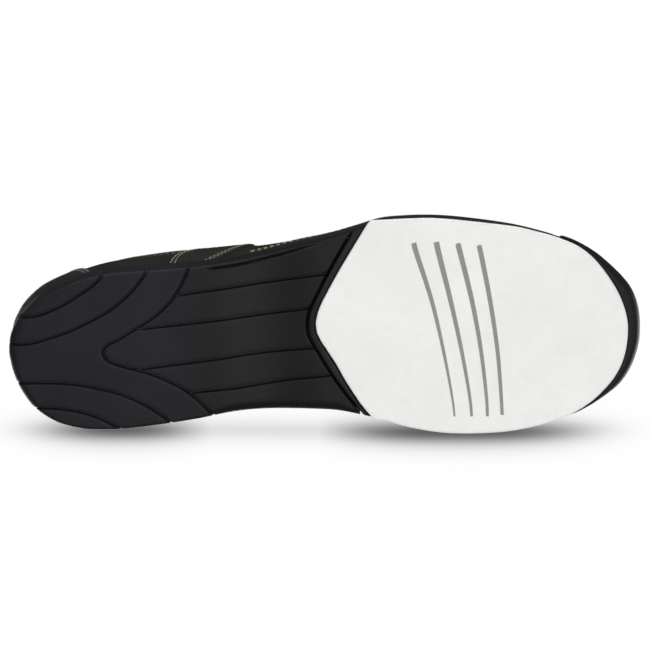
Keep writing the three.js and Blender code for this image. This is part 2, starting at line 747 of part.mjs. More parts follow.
// ---------------------------------------------------------------- quarters and side overlays
const turn = (from, to) => new THREE.Matrix4().makeRotationFromQuaternion(
  new THREE.Quaternion().setFromUnitVectors(from, to));
const UP_Y = new THREE.Vector3(0, 1, 0); // axis of lathed and cylindrical geometry

function eyeletSeat(side, edgeX) {
  const share = shareAtEdge(side, edgeX);
  const point = vector(sheetPoint(side, share, EYELET_HEIGHT));
  const normal = sheetNormal(side, share, EYELET_HEIGHT);
  return { point, normal, matrix: turn(UP_Y, normal).setPosition(point) };
}
const eyeletRow = (side) => EYELET_ROWS_X.map((x) => eyeletSeat(side, x));
const EYELETS = { [MEDIAL]: eyeletRow(MEDIAL), [LATERAL]: eyeletRow(LATERAL) };

const punches = (side) => EYELETS[side].map(({ matrix }) =>
  new THREE.CylinderGeometry(EYELET_CUT_R, EYELET_CUT_R, 14, 6).applyMatrix4(matrix));

function quarter(side) {
  return cut(panel(side, {
    from: always(JOINT_GAP),
    to: (height) => jointRear(side, height),
    bottom: always(0),
    top: always(1),
    layer: LAYER.base,
    cells: [17, 6],
  }), ...punches(side));
}

function saddle(side) {
  const top = 0.66;
  // straight edge leaning forward, by its feather-line x at the base and at the top
  const leaning = (baseX, topX) => (height) =>
    lerp(shareAt(side, baseX), shareAt(side, topX), height / top);
  return panel(side, {
    from: leaning(75, 92),
    to: leaning(96, 122),
    bottom: always(0.045),
    top: always(top),
    layer: LAYER.over,
    cells: [4, 5],
  });
}

function eyestay(side) {
  const rear = shareAt(side, 107);
  return cut(panel(side, {
    from: (height) => lerp(rear, rear + 0.01, height),
    to: always(SIDES[side].crestStart - 0.012),
    bottom: (along) => lerp(0.7, 0.8, along),
    top: always(1),
    layer: LAYER.over,
    cells: [11, 2],
  }), ...punches(side));
}

for (const [side, word] of SIDE_NAMES) {
  put("quarter_" + word, quarter(side), "upper_leather");
  put("saddle_" + word, saddle(side), "overlay_leather");
  put("eyestay_" + word, eyestay(side), "overlay_leather");
}

// ---------------------------------------------------------------- vamp and toe
const BUMPER_X = 262; // feather-line x of the bumper's ends
const TOE_OVERLAY_X = 107; // feather-line x of the toe overlay's ends

function toePuff() {
  return band({
    centre: 1,
    end: (side, height) => lerp(shareAt(side, 232), shareAt(side, 232) + 0.06, height),
    bottom: always(0.06),
    top: always(0.86),
    layer: LAYER.stiff,
    cells: [16, 4],
  });
}

function toeBumper() {
  return band({
    centre: 1,
    end: (side) => shareAt(side, BUMPER_X),
    bottom: always(0.12),
    top: (around) => 0.34 - 0.16 * around * around,
    layer: LAYER.over,
    cells: [14, 2],
  });
}

function toeOverlay() {
  // the lower edge passes above the bumper, then drops towards the sole
  const bottom = (around) => {
    const side = around < 0 ? LATERAL : MEDIAL;
    const bumperShare = (1 - shareAt(side, BUMPER_X)) / (1 - shareAt(side, TOE_OVERLAY_X));
    const past = Math.abs(around) / bumperShare;
    return past < 1 ? 0.42 - 0.16 * past * past : lerp(0.26, 0.05, smooth(1, 1.22, past));
  };
  const top = (around) => {
    const out = Math.abs(around);
    return out < 0.3 ? 0.82 - 0.25 * smooth(0, 0.3, out) : lerp(0.57, 0.16, smooth(0.3, 1, out));
  };
  const end = (side) => shareAt(side, TOE_OVERLAY_X);
  return band({ centre: 1, end, bottom, top, layer: LAYER.over, cells: [36, 3] });
}

const vampLiningRear = (side, height) => jointFront(side, height) + 0.004;
put("vamp", hood(jointFront, LAYER.base, [13, 12]), "upper_mesh");
put("vamp_lining", hood(vampLiningRear, LAYER.vampLining, [12, 10]), "lining_fabric");
put("toe_puff", toePuff(), "stiffener");
put("toe_bumper", toeBumper(), "outsole_rubber");
put("toe_overlay", toeOverlay(), "overlay_leather");

// ---------------------------------------------------------------- heel and collar
// band round the heel whose ends draw back with height; endX is on the feather line
function heelBand({ endX, drawBack, bottom, top, layer, cells }) {
  return band({
    centre: 0,
    end: (side, height) => shareAt(side, endX) * (1 - drawBack * height),
    bottom: always(bottom),
    top: always(top),
    layer,
    cells,
  });
}
const heelOverlay = heelBand({
  endX: 42, drawBack: 0.35, bottom: 0.05, top: 0.62, layer: LAYER.over, cells: [12, 4],
});
const heelCounter = heelBand({
  endX: 72, drawBack: 0.3, bottom: 0.02, top: 0.58, layer: LAYER.stiff, cells: [18, 4],
});
const quarterLining = band({
  centre: 0,
  end: jointRear,
  bottom: always(0),
  top: always(0.58),
  layer: LAYER.lining,
  cells: [30, 3],
});

// rounded padding inside the collar, thinner towards its front ends
function collarPadding() {
  const outerOffset = -0.7;
  return warp((along, up, out) => {
    const around = along * 2 - 1;
    const reach = Math.abs(around);
    const side = around < 0 ? LATERAL : MEDIAL;
    const fullness = Math.sin(Math.PI * clamp(up, 0.06, 0.94)) ** 0.5
      * (1 - 0.45 * smooth(0.8, 1, reach));
    const offset = lerp(outerOffset - COLLAR_THICK * fullness, outerOffset, out);
    return onSheet(side, shareAt(side, 108) * reach, lerp(0.62, 0.995, up), offset);
  }, [24, 4]);
}
put("heel_overlay", heelOverlay, "overlay_leather");
put("heel_counter", heelCounter, "stiffener");
put("quarter_lining", quarterLining, "lining_fabric");
put("collar_padding", collarPadding(), "lining_fabric");

// ---------------------------------------------------------------- tongue
// centre line of the tongue's outer face, as [x, z]
const TONGUE_LINE = [
  [100.5, 112], [104, 105], [112, 95.4], [121, 89.4], [130, 84], [140, 78], [150, 71.8],
  [160, 65.6], [170, 59.6], [179, 55], [187, 51.6],
];
const TONGUE_FRONT_X = 187;
const tongueZ = cubicTable(TONGUE_LINE);

// curved strip along the tongue line; x and halfWidth run from its front to its rear end
function tongueStrip({ x: ends, halfWidth, thickness, rounded, cells }) {
  return warp((along, across, out) => {
    const x = lerp(...ends, along);
    const slope = tongueZ(x + 0.5) - tongueZ(x - 0.5);
    const length = Math.hypot(1, slope);
    let half = lerp(...halfWidth, along);
    if (rounded) half *= Math.sqrt(1 - clamp((along - 0.55) / 0.5) ** 2 * 0.75);
    const sideways = (across - 0.5) * 2 * half;
    const curl = lerp(0.0215, 0.0225, clamp((TONGUE_FRONT_X - x) / 60));
    const thick = thickness(along) * (1 - 0.35 * (Math.abs(across - 0.5) * 2) ** 3);
    const offset = -curl * sideways * sideways - (1 - out) * thick;
    return [
      x - (slope / length) * offset,
      TONGUE_Y + sideways,
      tongueZ(x) + offset / length,
    ];
  }, cells);
}
const tongue = tongueStrip({
  x: [TONGUE_FRONT_X, 112.4],
  halfWidth: [17, 25.5],
  thickness: always(TONGUE_THICK),
  rounded: false,
  cells: [10, 6],
});
const tongueTop = tongueStrip({
  x: [111, 100.6],
  halfWidth: [26, 29],
  thickness: (along) => 4.5 + 4 * Math.sin(Math.PI * clamp(along, 0.12, 0.9)),
  rounded: true,
  cells: [5, 8],
});
put("tongue", tongue, "upper_mesh");
put("tongue_top", tongueTop, "lining_fabric");

// ---------------------------------------------------------------- eyelets
// barrel and flange, as [radius, distance out from the upper surface]
const EYELET_PROFILE = [
  [EYELET_BORE_R, -0.9], [2.65, -0.9], [2.65, 3.8], [4.2, 4.1], [EYELET_BORE_R, 4.5],
  [EYELET_BORE_R, -0.9],
].map(([radius, out]) => new THREE.Vector2(radius, out));

for (const [side, word] of SIDE_NAMES) {
  EYELETS[side].forEach(({ matrix }, i) => {
    const eyelet = new THREE.LatheGeometry(EYELET_PROFILE, 7).applyMatrix4(matrix);
    put(`eyelet_${word}_${i + 1}`, eyelet, "eyelet_metal");
  });
}

// ---------------------------------------------------------------- lace
// passes through every given point in equal steps
class Polyline extends THREE.Curve {
  constructor(points) {
    super();
    this.points = points;
  }
  getPoint(share, target = new THREE.Vector3()) {
    const position = clamp(share) * (this.points.length - 1);
    const i = Math.min(this.points.length - 2, Math.floor(position + 1e-9));
    return target.lerpVectors(this.points[i], this.points[i + 1], position - i);
  }
  getPointAt(share, target) {
    return this.getPoint(share, target);
  }
  getTangentAt(share, target = new THREE.Vector3()) {
    const half = 0.5 / (this.points.length - 1);
    return target.copy(this.getPoint(share + half)).sub(this.getPoint(share - half)).normalize();
  }
}

function laceTube(points) {
  const corners = Array.from({ length: 5 }, (_, i) => {
    const angle = (i / 5) * Math.PI * 2;
    return new THREE.Vector2(LACE_R * Math.cos(angle), LACE_R * Math.sin(angle));
  });
  const section = new THREE.Shape(corners);
  section.closePath();
  return new THREE.ExtrudeGeometry(section, {
    steps: points.length - 1,
    extrudePath: new Polyline(points),
    bevelEnabled: false,
  });
}

const KNOT_RADII = [4, 5.6, 3.3];
const KNOT_Z = tongueZ(KNOT_X) + 1.1 + 3.4;
const EYELET_PASS = [-2.7, -1.2, 4.4, 5.9]; // offsets of the lace through an eyelet
// lift over the tongue where strands cross: up to the middle, and past it
const CROSSING = { over: [4.9, 4.2], under: [2, 2] };

const atEyelet = (side, i, offset) => {
  const { point, normal } = EYELETS[side][i];
  return point.clone().addScaledVector(normal, offset);
};
const nearUpper = (side, edgeX, height, offset) =>
  vector(onSheet(side, shareAtEdge(side, edgeX), height, offset));
const overTongue = (x, lift, sideways = 0) =>
  new THREE.Vector3(x, TONGUE_Y + sideways, tongueZ(x) - 0.019 * sideways ** 2 + lift);
const nearKnot = (forward, sideways, lift) =>
  new THREE.Vector3(KNOT_X + forward, TONGUE_Y + sideways, KNOT_Z + lift);

// one strand, from the front row's eyelet on a side up to the knot
function strand(startSide, [lift, liftPast]) {
  const points = [];
  const lastRow = EYELET_ROWS_X.length - 1;
  let side = startSide;
  for (let i = 0; i <= lastRow; i++) {
    for (const offset of EYELET_PASS) points.push(atEyelet(side, i, offset));
    if (i === lastRow) break;
    const between = (share) => lerp(EYELET_ROWS_X[i], EYELET_ROWS_X[i + 1], share);
    points.push(
      nearUpper(side, between(0.22), 1, 5.1),
      overTongue(between(0.5), lift, side * 5),
      overTongue(between(0.56), lift),
      overTongue(between(0.64), liftPast, -side * 5),
      nearUpper(-side, between(0.82), 1, -2.1),
      atEyelet(-side, i + 1, -2.9),
    );
    side = -side;
  }
  points.push(
    nearUpper(side, 118.5, 1, 5.4),
    nearKnot(1.2, side * 12.5, -3.6),
    nearKnot(0.8, side * 6.2, -2.6),
  );
  return points;
}

function lace() {
  const frontX = EYELET_ROWS_X[0];
  return laceTube([
    ...strand(MEDIAL, CROSSING.over).reverse(),
    overTongue(frontX, 1.9, 7),
    overTongue(frontX - 0.2, 1.8),
    overTongue(frontX, 1.9, -7),
    ...strand(LATERAL, CROSSING.under),
  ]);
}

function laceKnot() {
  return new THREE.SphereGeometry(1, 10, 7)
    .scale(...KNOT_RADII)
    .translate(KNOT_X, TONGUE_Y, KNOT_Z);
}
put("lace", lace(), "lace_cotton");
put("lace_knot", laceKnot(), "lace_cotton");

// ---------------------------------------------------------------- bow
// free end over the upper, as [edge x ahead of the knot, height, offset]
const FREE_END = [
  [20, 0.99, 9], [23, 0.955, 8.6], [26, 0.915, 8.3], [29, 0.875, 8], [32, 0.84, 7.9],
  [35, 0.81, 7.9],
];
const AGLET = { length: 16, frontR: 1.3, tipR: 1.15, gap: 0.4 };
const AGLET_AIM = [51, 0.7, 7.2]; // point the aglet aims at, in the columns of FREE_END

function bowLoop(side) {
  // reach is 0 at the knot and 1 at the far end of the loop
  const pointAt = (reach, forward) => {
    const fall = clamp((reach - 0.18) / 0.82);
    const edgeX = KNOT_X + forward + 14 * reach;
    const resting = nearUpper(side, edgeX, lerp(0.98, 0.93, fall), lerp(11.4, 9.4, fall));
    const blend = smooth(0, 0.34, reach);
    const point = nearKnot(forward, side * 6.9, 1).lerp(resting, blend);
    point.z += 3.2 * Math.sin(Math.PI * blend);
    return point;
  };
  const steps = 18;
  const points = [];
  for (let i = 0; i <= steps; i++) {
    const angle = (Math.PI * i) / steps;
    // the clamp absorbs rounding below zero, which has no fractional power
    const reach = Math.max(0, Math.sin(angle)) ** 0.85;
    const spread = 1.7 * Math.cos(angle) + 6.5 * Math.sin(2 * angle);
    points.push(pointAt(reach, 0.3 - spread));
  }
  return laceTube(points);
}

const restingPoint = (side, [forward, height, offset]) =>
  nearUpper(side, KNOT_X + forward, height, offset);

// free end, lying in front of the loop
function laceEnd(side) {
  return laceTube([
    nearKnot(5.4, side * 3.2, 1.6),
    nearKnot(8.5, side * 7, 1),
    ...FREE_END.map((row) => restingPoint(side, row)),
  ]);
}

function aglet(side) {
  const start = restingPoint(side, FREE_END[FREE_END.length - 1]);
  const direction = restingPoint(side, AGLET_AIM).sub(start).normalize();
  const centre = start.addScaledVector(direction, AGLET.gap + AGLET.length / 2);
  const down = UP_Y.clone().negate();
  return new THREE.CylinderGeometry(AGLET.frontR, AGLET.tipR, AGLET.length, 7)
    .applyMatrix4(turn(down, direction).setPosition(centre));
}

for (const [side, word] of SIDE_NAMES) {
  put("bow_loop_" + word, bowLoop(side), "lace_cotton");
  put("lace_end_" + word, laceEnd(side), "lace_cotton");
  put("aglet_" + word, aglet(side), "aglet_plastic");
}

// ---------------------------------------------------------------- pull loop at the heel
const PULL = { halfDepth: 2.5, height: 14.5, thick: 1.3, width: 13, flare: 0.2 };

// upright ring of webbing seen from the side, inset from its outer face: x across, y up
function traceRing(path, distance, flare) {
  const half = PULL.halfDepth - distance;
  const shoulder = PULL.height - distance - half;
  path.moveTo(-half, distance);
  path.lineTo(half, distance);
  path.lineTo(half + flare, shoulder);
  path.absarc(0, shoulder, half, 0, Math.PI, false);
  path.lineTo(-half, distance);
  return path;
}

function pullLoop() {
  const section = traceRing(new THREE.Shape(), 0, PULL.flare);
  section.holes.push(traceRing(new THREE.Path(), PULL.thick, 0));
  return new THREE.ExtrudeGeometry(section, {
    depth: PULL.width,
    bevelEnabled: false,
    curveSegments: 5,
  })
    .translate(0, 0, -PULL.width / 2)
    .rotateX(Math.PI / 2) // the section's y becomes z, its depth becomes -y
    .translate(6.2, 1.5, 78.2);
}
put("pull_loop", pullLoop(), "upper_mesh");

export default root;
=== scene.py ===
"""A laced leather shoe with a sliding pad under the forefoot.

Shapes are in millimetres from the rearmost point of the heel: x runs from heel to toe, -y is the
outer (lateral) side, +y the inner (medial) side, and z rises from the ground under the sole.
to_m() turns them into metres in the CAD frame.
"""

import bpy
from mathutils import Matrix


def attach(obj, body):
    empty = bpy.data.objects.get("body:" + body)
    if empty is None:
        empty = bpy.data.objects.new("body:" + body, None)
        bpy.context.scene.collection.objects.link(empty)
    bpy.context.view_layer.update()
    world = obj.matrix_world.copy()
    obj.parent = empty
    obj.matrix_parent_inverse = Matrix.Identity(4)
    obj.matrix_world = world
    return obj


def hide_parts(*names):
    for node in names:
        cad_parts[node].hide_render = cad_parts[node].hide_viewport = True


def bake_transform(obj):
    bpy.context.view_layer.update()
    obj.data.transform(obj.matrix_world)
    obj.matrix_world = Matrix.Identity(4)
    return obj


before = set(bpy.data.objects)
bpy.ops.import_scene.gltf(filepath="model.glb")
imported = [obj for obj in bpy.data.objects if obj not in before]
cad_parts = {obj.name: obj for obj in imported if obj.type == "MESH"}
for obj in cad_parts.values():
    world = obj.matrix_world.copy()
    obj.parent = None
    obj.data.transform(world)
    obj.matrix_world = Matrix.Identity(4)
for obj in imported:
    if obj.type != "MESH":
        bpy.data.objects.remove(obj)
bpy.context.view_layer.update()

import math
import bpy
import numpy as np
from mathutils import Matrix, Vector
from mathutils.geometry import delaunay_2d_cdt
from mathutils.kdtree import KDTree

ORIGIN_X, ORIGIN_Y = 28.0, 4.0      # the CAD frame's origin, measured from the heel
LENGTH = 300                        # of the sole
TOE_SPRING, TOE_FROM = 13.0, 225.0  # lift of the toe's tip, and where the lift begins
WORDS = ((-1, "lateral"), (1, "medial"))

# ------------------------------------------------------------------ measured lines, (x, y)
# sole outline, counter-clockwise seen from above
OUTLINE = [
    (0, 0), (0.9, -7.1), (3.3, -12.3), (5.7, -16.1), (10.4, -21), (15.1, -24.7), (24.6, -29.3),
    (34.1, -33.1), (46.8, -36.1), (67.2, -37.2), (87.1, -38.3), (114.5, -41.5), (138.2, -46.6),
    (152.4, -49.7), (165.6, -53.8), (178, -57.7), (190, -58.9), (200, -59), (209, -58.5),
    (218.6, -57.4), (232.8, -55.3), (242.3, -53.4), (251.7, -50.8), (261.2, -47.6), (270.7, -43.5),
    (280.1, -37.5), (289.6, -28.6), (294.7, -22.6), (297.8, -16.3), (299.6, -9), (300, -1.7),
    (299.5, 5.5), (297.6, 12.6), (294.3, 19.6), (289.6, 25.6), (280.1, 32.2), (270.7, 36.9),
    (261.2, 40), (251.7, 42.5), (242.3, 44.3), (232.8, 45.3), (223.3, 45.6), (213.9, 45.5),
    (204.4, 44.7), (195, 43.1), (185.5, 40.8), (176, 37.9), (166.6, 35.2), (152.4, 33),
    (133.4, 32.1), (112, 32.2), (100, 33.4), (90.9, 34.6), (76.7, 36.6), (62.5, 38.2), (53, 39),
    (43.5, 39.1), (34.1, 38.4), (24.6, 36), (19.9, 34), (15.1, 31), (10.4, 26.9), (7.6, 23.2),
    (4.3, 17.3), (1.9, 11), (0.5, 4.8),
]
# V-shaped joint between the rear and the front rubber
CHEVRON = [
    (170.5, -64), (168.3, -60), (165.3, -55.9), (161.8, -50.2), (157.1, -42.6), (152.4, -34.5),
    (147.6, -25.7), (144.3, -19.2), (142.2, -14.2), (141.5, -9.5), (141.8, -5), (143.4, -1.1),
    (146.7, 4.8), (151.4, 13.2), (156.2, 20.7), (159.5, 25.4), (163.2, 30.4), (166.5, 35),
    (169.5, 39), (173, 44),
]
# rear edge of the sliding pad
PAD_REAR = [
    (178, -64), (174.3, -60), (171.3, -56.6), (166.6, -49.6), (161.8, -42), (157.1, -34.4),
    (152.4, -26.2), (148.6, -19.2), (146.5, -13.8), (145.7, -9.6), (146, -6), (147.6, -1.9),
    (150.5, 3), (154.7, 9.9), (158.5, 17.2), (162.8, 24.6), (166.6, 30.5), (171.3, 36.4),
    (174.5, 40), (178, 44),
]
# sides and toe of the pad; its rear is cut off by PAD_REAR
PAD_OUTLINE = [
    (140, -60), (172, -58.4), (190, -58.7), (200, -58.7), (209, -58), (218.6, -56.8),
    (228.1, -55.5), (242.3, -53.1), (251.7, -50.4), (261.2, -47.2), (270.7, -42.6), (277, -37.5),
    (282, -31.5), (286.3, -25), (289.6, -19), (292, -13), (293.6, -7), (294.1, -1.5), (293.6, 5),
    (292.4, 11), (290.1, 17), (286.3, 22.9), (281.5, 28), (276, 32.6), (266, 38.2), (261.2, 39.8),
    (251.7, 42.4), (242.3, 44.1), (232.8, 45.1), (223.3, 45.4), (213.9, 45.3), (204.4, 44.6),
    (195, 43), (185.5, 40.7), (176, 37.8), (140, 36),
]
# grooves carved in the heel, and the long shank grooves that start shallow
HEEL_GROOVES = [
    [(1, -15.6), (6.6, -16), (15.1, -17.4), (24.6, -21), (34.1, -26.5), (43.5, -33.4), (48.5, -42)],
    [(-2, -3.4), (10.4, -3.8), (19.9, -6.2), (29.3, -9.3), (38.8, -13.6), (48.3, -18.8),
     (57.7, -26.3), (64.8, -34.7), (69.5, -43)],
    [(-2, 15.5), (17.5, 15.5), (31.7, 16.8), (43.5, 19.4), (53, 22.3), (62.5, 26.9), (71.9, 33.2),
     (79, 40)],
    [(3, 29), (15.1, 27.7), (24.6, 28.4), (34.1, 30.4), (43.5, 34.1), (55, 41)],
    [(87.6, -44), (86.1, -37.9), (82.8, -30.8), (77.6, -22.8), (69.6, -15.3), (57.7, -7.9),
     (50.6, -3.8), (46.4, -1.8), (44.6, 0.6), (44.9, 3.4), (47.3, 6), (55.4, 9.1), (63.9, 11.5),
     (74.3, 15.9), (82.8, 20.8), (89.4, 26.5), (95, 32.6), (98.5, 38)],
]
SHANK_GROOVES = [
    [(79.2, -25.0), (98, -27.2), (119.2, -29.7), (149.4, -33.3), (151.9, -33.6)],
    [(60.3, -9.2), (90.9, -11.8), (119.2, -14.6), (143.6, -17.2)],
    [(59.4, 10.3), (90.9, 7), (119.2, 3.8), (145.4, 1.9)],
    [(84.6, 22.0), (109.8, 20.1), (133.4, 17), (153.0, 15.2)],
]
# grey bars printed on the pad: centre line, width at the first end, width at the last
BARS = [
    ([(192.8, -47.3), (193.7, -43.5), (200.8, -19.1), (205.8, 5.1), (209.7, 29.4),
      (210.4, 36.9)], 2.6, 1.0),
    ([(203.5, -47.5), (204.3, -43.2), (209.7, -18.9), (214.4, 5.4), (218.0, 29.6),
      (218.5, 37.1)], 2.8, 1.35),
    ([(213.6, -46.7), (214.5, -42.8), (219.8, -18.6), (223.6, 5.7), (225.8, 29.8),
      (226.0, 37.3)], 2.7, 1.5),
    ([(223.6, -45.5), (224.2, -42.6), (228.4, -18.3), (231.4, 5.9), (232.8, 30),
      (233.0, 36.8)], 2.5, 1.65),
]


# ------------------------------------------------------------------ curves
def lerp(a, b, t):
    return a + (b - a) * t


def smooth(a, b, x):
    t = np.clip((np.asarray(x, float) - a) / (b - a), 0, 1)
    return t * t * (3 - 2 * t)


def bell(x, width):
    return np.exp(-(x / width) ** 2)


def lip(dist, radius, limit=0.99):
    """Drop of a quarter-round edge as a share of its radius; limit keeps it off the vertical."""
    q = np.clip(1 - dist / radius, 0, limit)
    return 1 - np.sqrt(1 - q * q)


def monotone(xs, ys, start_slope=None):
    """Monotone cubic through the points, constant beyond both ends."""
    xs, ys = np.asarray(xs, float), np.asarray(ys, float)
    gap = np.diff(xs)
    slope = np.diff(ys) / gap
    tangent = np.zeros(len(xs))
    for i in range(1, len(xs) - 1):
        if slope[i - 1] * slope[i] > 0:
            before, after = 2 * gap[i] + gap[i - 1], gap[i] + 2 * gap[i - 1]
            tangent[i] = (before + after) / (before / slope[i - 1] + after / slope[i])
    tangent[0] = slope[0] if start_slope is None else start_slope
    tangent[-1] = slope[-1]

    def curve(x):
        x = np.asarray(x, float)
        i = np.clip(np.searchsorted(xs, x, side="right") - 1, 0, len(xs) - 2)
        t = np.clip((x - xs[i]) / gap[i], 0, 1)
        t2, t3 = t * t, t * t * t
        return ((2 * t3 - 3 * t2 + 1) * ys[i] + (t3 - 2 * t2 + t) * gap[i] * tangent[i]
                + (3 * t2 - 2 * t3) * ys[i + 1] + (t3 - t2) * gap[i] * tangent[i + 1])

    return curve


def table(rows):
    return monotone(*zip(*sorted(rows)))


def lengths(points):
    """Distance along a line to each of its points."""
    return np.r_[0, np.cumsum(np.linalg.norm(np.diff(points, axis=0), axis=1))]


def resample(line, step, drop=False):
    """The line at an even step; drop leaves out the last point of a closed loop."""
    line = np.asarray(line, float)
    dist = lengths(line)
    count = max(2, int(round(dist[-1] / step)) + 1)
    at = np.linspace(0, dist[-1], count)
    even = np.stack([np.interp(at, dist, line[:, k]) for k in range(line.shape[1])], 1)
    return even[:-1] if drop else even


def catmull(points, closed=False, step=0.2):
    """Centripetal Catmull-Rom through the points, resampled at an even step."""
    pts = np.asarray(points, float)
    count = len(pts)
    out = []
    t = np.linspace(0, 1, 40, endpoint=False)[:, None]
    for i in range(count if closed else count - 1):
        if closed:
            p0, p1, p2, p3 = (pts[(i + k) % count] for k in (-1, 0, 1, 2))
        else:
            p1, p2 = pts[i], pts[i + 1]
            p0 = pts[i - 1] if i else p1 + (p1 - p2)
            p3 = pts[i + 2] if i + 2 < count else p2 + (p2 - p1)
        a, b, c = (max(np.linalg.norm(q) ** 0.5, 1e-4) for q in (p1 - p0, p2 - p1, p3 - p2))
        t1 = ((p1 - p0) / a - (p2 - p0) / (a + b) + (p2 - p1) / b) * b
        t2 = ((p2 - p1) / b - (p3 - p1) / (b + c) + (p3 - p2) / c) * b
        out.append(p1 + t1 * t + (-3 * p1 + 3 * p2 - 2 * t1 - t2) * t * t
                   + (2 * p1 - 2 * p2 + t1 + t2) * t ** 3)
    return resample(np.vstack(out + [pts[:1] if closed else pts[-1:]]), step, drop=closed)


def normals2(line, closed=True):
    """Unit normals to the left of a 2-D line: inwards for a counter-clockwise loop."""
    if closed:
        tangent = np.roll(line, -2, 0) - np.roll(line, 2, 0)
    else:
        tangent = np.gradient(line, axis=0)
    tangent = tangent / np.linalg.norm(tangent, axis=1)[:, None]
    return np.stack([-tangent[:, 1], tangent[:, 0]], 1)


def inset(loop, dist):
    return loop + normals2(loop) * dist


def insets(loop, dists):
    return [inset(loop, dist)[::2] for dist in dists]


def close_loop(loop):
    return resample(np.vstack([loop, loop[:1]]), 0.1)


class Sides:
    """A closed loop split at its heel and toe points into a lateral and a medial line."""

    def __init__(self, loop):
        heel, toe, count = int(np.argmin(loop[:, 0])), int(np.argmax(loop[:, 0])), len(loop)
        self.lateral = loop[[(heel + i) % count for i in range((toe - heel) % count + 1)]]
        self.medial = loop[[(heel - i) % count for i in range((heel - toe) % count + 1)]]
        self.x0, self.x1 = loop[heel, 0], loop[toe, 0]

    def low(self, x):
        return np.interp(x, self.lateral[:, 0], self.lateral[:, 1])

    def high(self, x):
        return np.interp(x, self.medial[:, 0], self.medial[:, 1])


class Near:
    """Index of and distance to the nearest of a set of 2-D or 3-D points."""

    def __init__(self, points):
        self.points = np.asarray(points, float)
        self.tree = KDTree(len(points))
        for i, p in enumerate(self.points):
            self.tree.insert((*p, 0.0)[:3], i)
        self.tree.balance()

    def __call__(self, query):
        found = [self.tree.find((*q, 0.0)[:3]) for q in np.asarray(query, float)]
        return np.array([f[1] for f in found]), np.array([f[2] for f in found])


# ------------------------------------------------------------------ flat regions
def inside(loop, points, chunk=4000):
    """Even-odd test of 2-D points against a closed loop."""
    a, b = np.asarray(loop, float), np.roll(loop, -1, 0)
    result = np.zeros(len(points), bool)
    for start in range(0, len(points), chunk):
        part = points[start:start + chunk]
        x, y = part[:, 0:1], part[:, 1:2]
        spans = (a[None, :, 1] > y) != (b[None, :, 1] > y)
        with np.errstate(divide="ignore", invalid="ignore"):
            crossing = a[None, :, 0] + ((y - a[None, :, 1]) * (b[None, :, 0] - a[None, :, 0])
                                        / (b[None, :, 1] - a[None, :, 1]))
        result[start:start + chunk] = (np.sum(spans & (x < crossing), 1) % 2) == 1
    return result


def lattice(low, high, step):
    """Triangular lattice of points over a rectangle."""
    out = []
    for k, y in enumerate(np.arange(low[1], high[1], step * 0.866)):
        xs = np.arange(low[0] + (step / 2 if k % 2 else 0), high[0], step)
        out.append(np.stack([xs, np.full(len(xs), y)], 1))
    return np.vstack(out)


def fill(loop, points, near=0.18, cell=0.16):
    """Triangulates a closed loop with points inside it. The loop's points come first, in order."""
    loop, points = np.asarray(loop, float), np.asarray(points, float)
    points = points[inside(loop, points)]
    points = points[Near(close_loop(loop))(points)[1] > near]
    _, keep = np.unique(np.round(points / cell).astype(int), axis=0, return_index=True)
    given = np.vstack([loop, points[np.sort(keep)]])
    count = len(loop)
    edges = [(i, (i + 1) % count) for i in range(count)]
    result = delaunay_2d_cdt([Vector(v) for v in given], edges, [], 0, 1e-7)
    # back to the order the points were given in
    back = np.array([o[0] if o else -1 for o in result[3]], int)
    extra = np.flatnonzero(back < 0)
    back[extra] = len(given) + np.arange(len(extra))
    flat = np.zeros((len(given) + len(extra), 2))
    flat[:len(given)] = given
    flat[back] = np.array([tuple(v) for v in result[0]])
    tris = back[np.array(result[2], int)]
    a, b, c = (flat[tris[:, k]] for k in range(3))
    area = (b[:, 0] - a[:, 0]) * (c[:, 1] - a[:, 1]) - (b[:, 1] - a[:, 1]) * (c[:, 0] - a[:, 0])
    keep = (np.abs(area) > 1e-6) & inside(loop, (a + b + c) / 3)
    tris, area = tris[keep], area[keep]
    tris[area < 0] = tris[area < 0][:, ::-1]
    return flat, tris


# ------------------------------------------------------------------ meshes
def to_m(points):
    return (np.asarray(points, float).reshape(-1, 3) - (ORIGIN_X, ORIGIN_Y, 0.0)) * 0.001


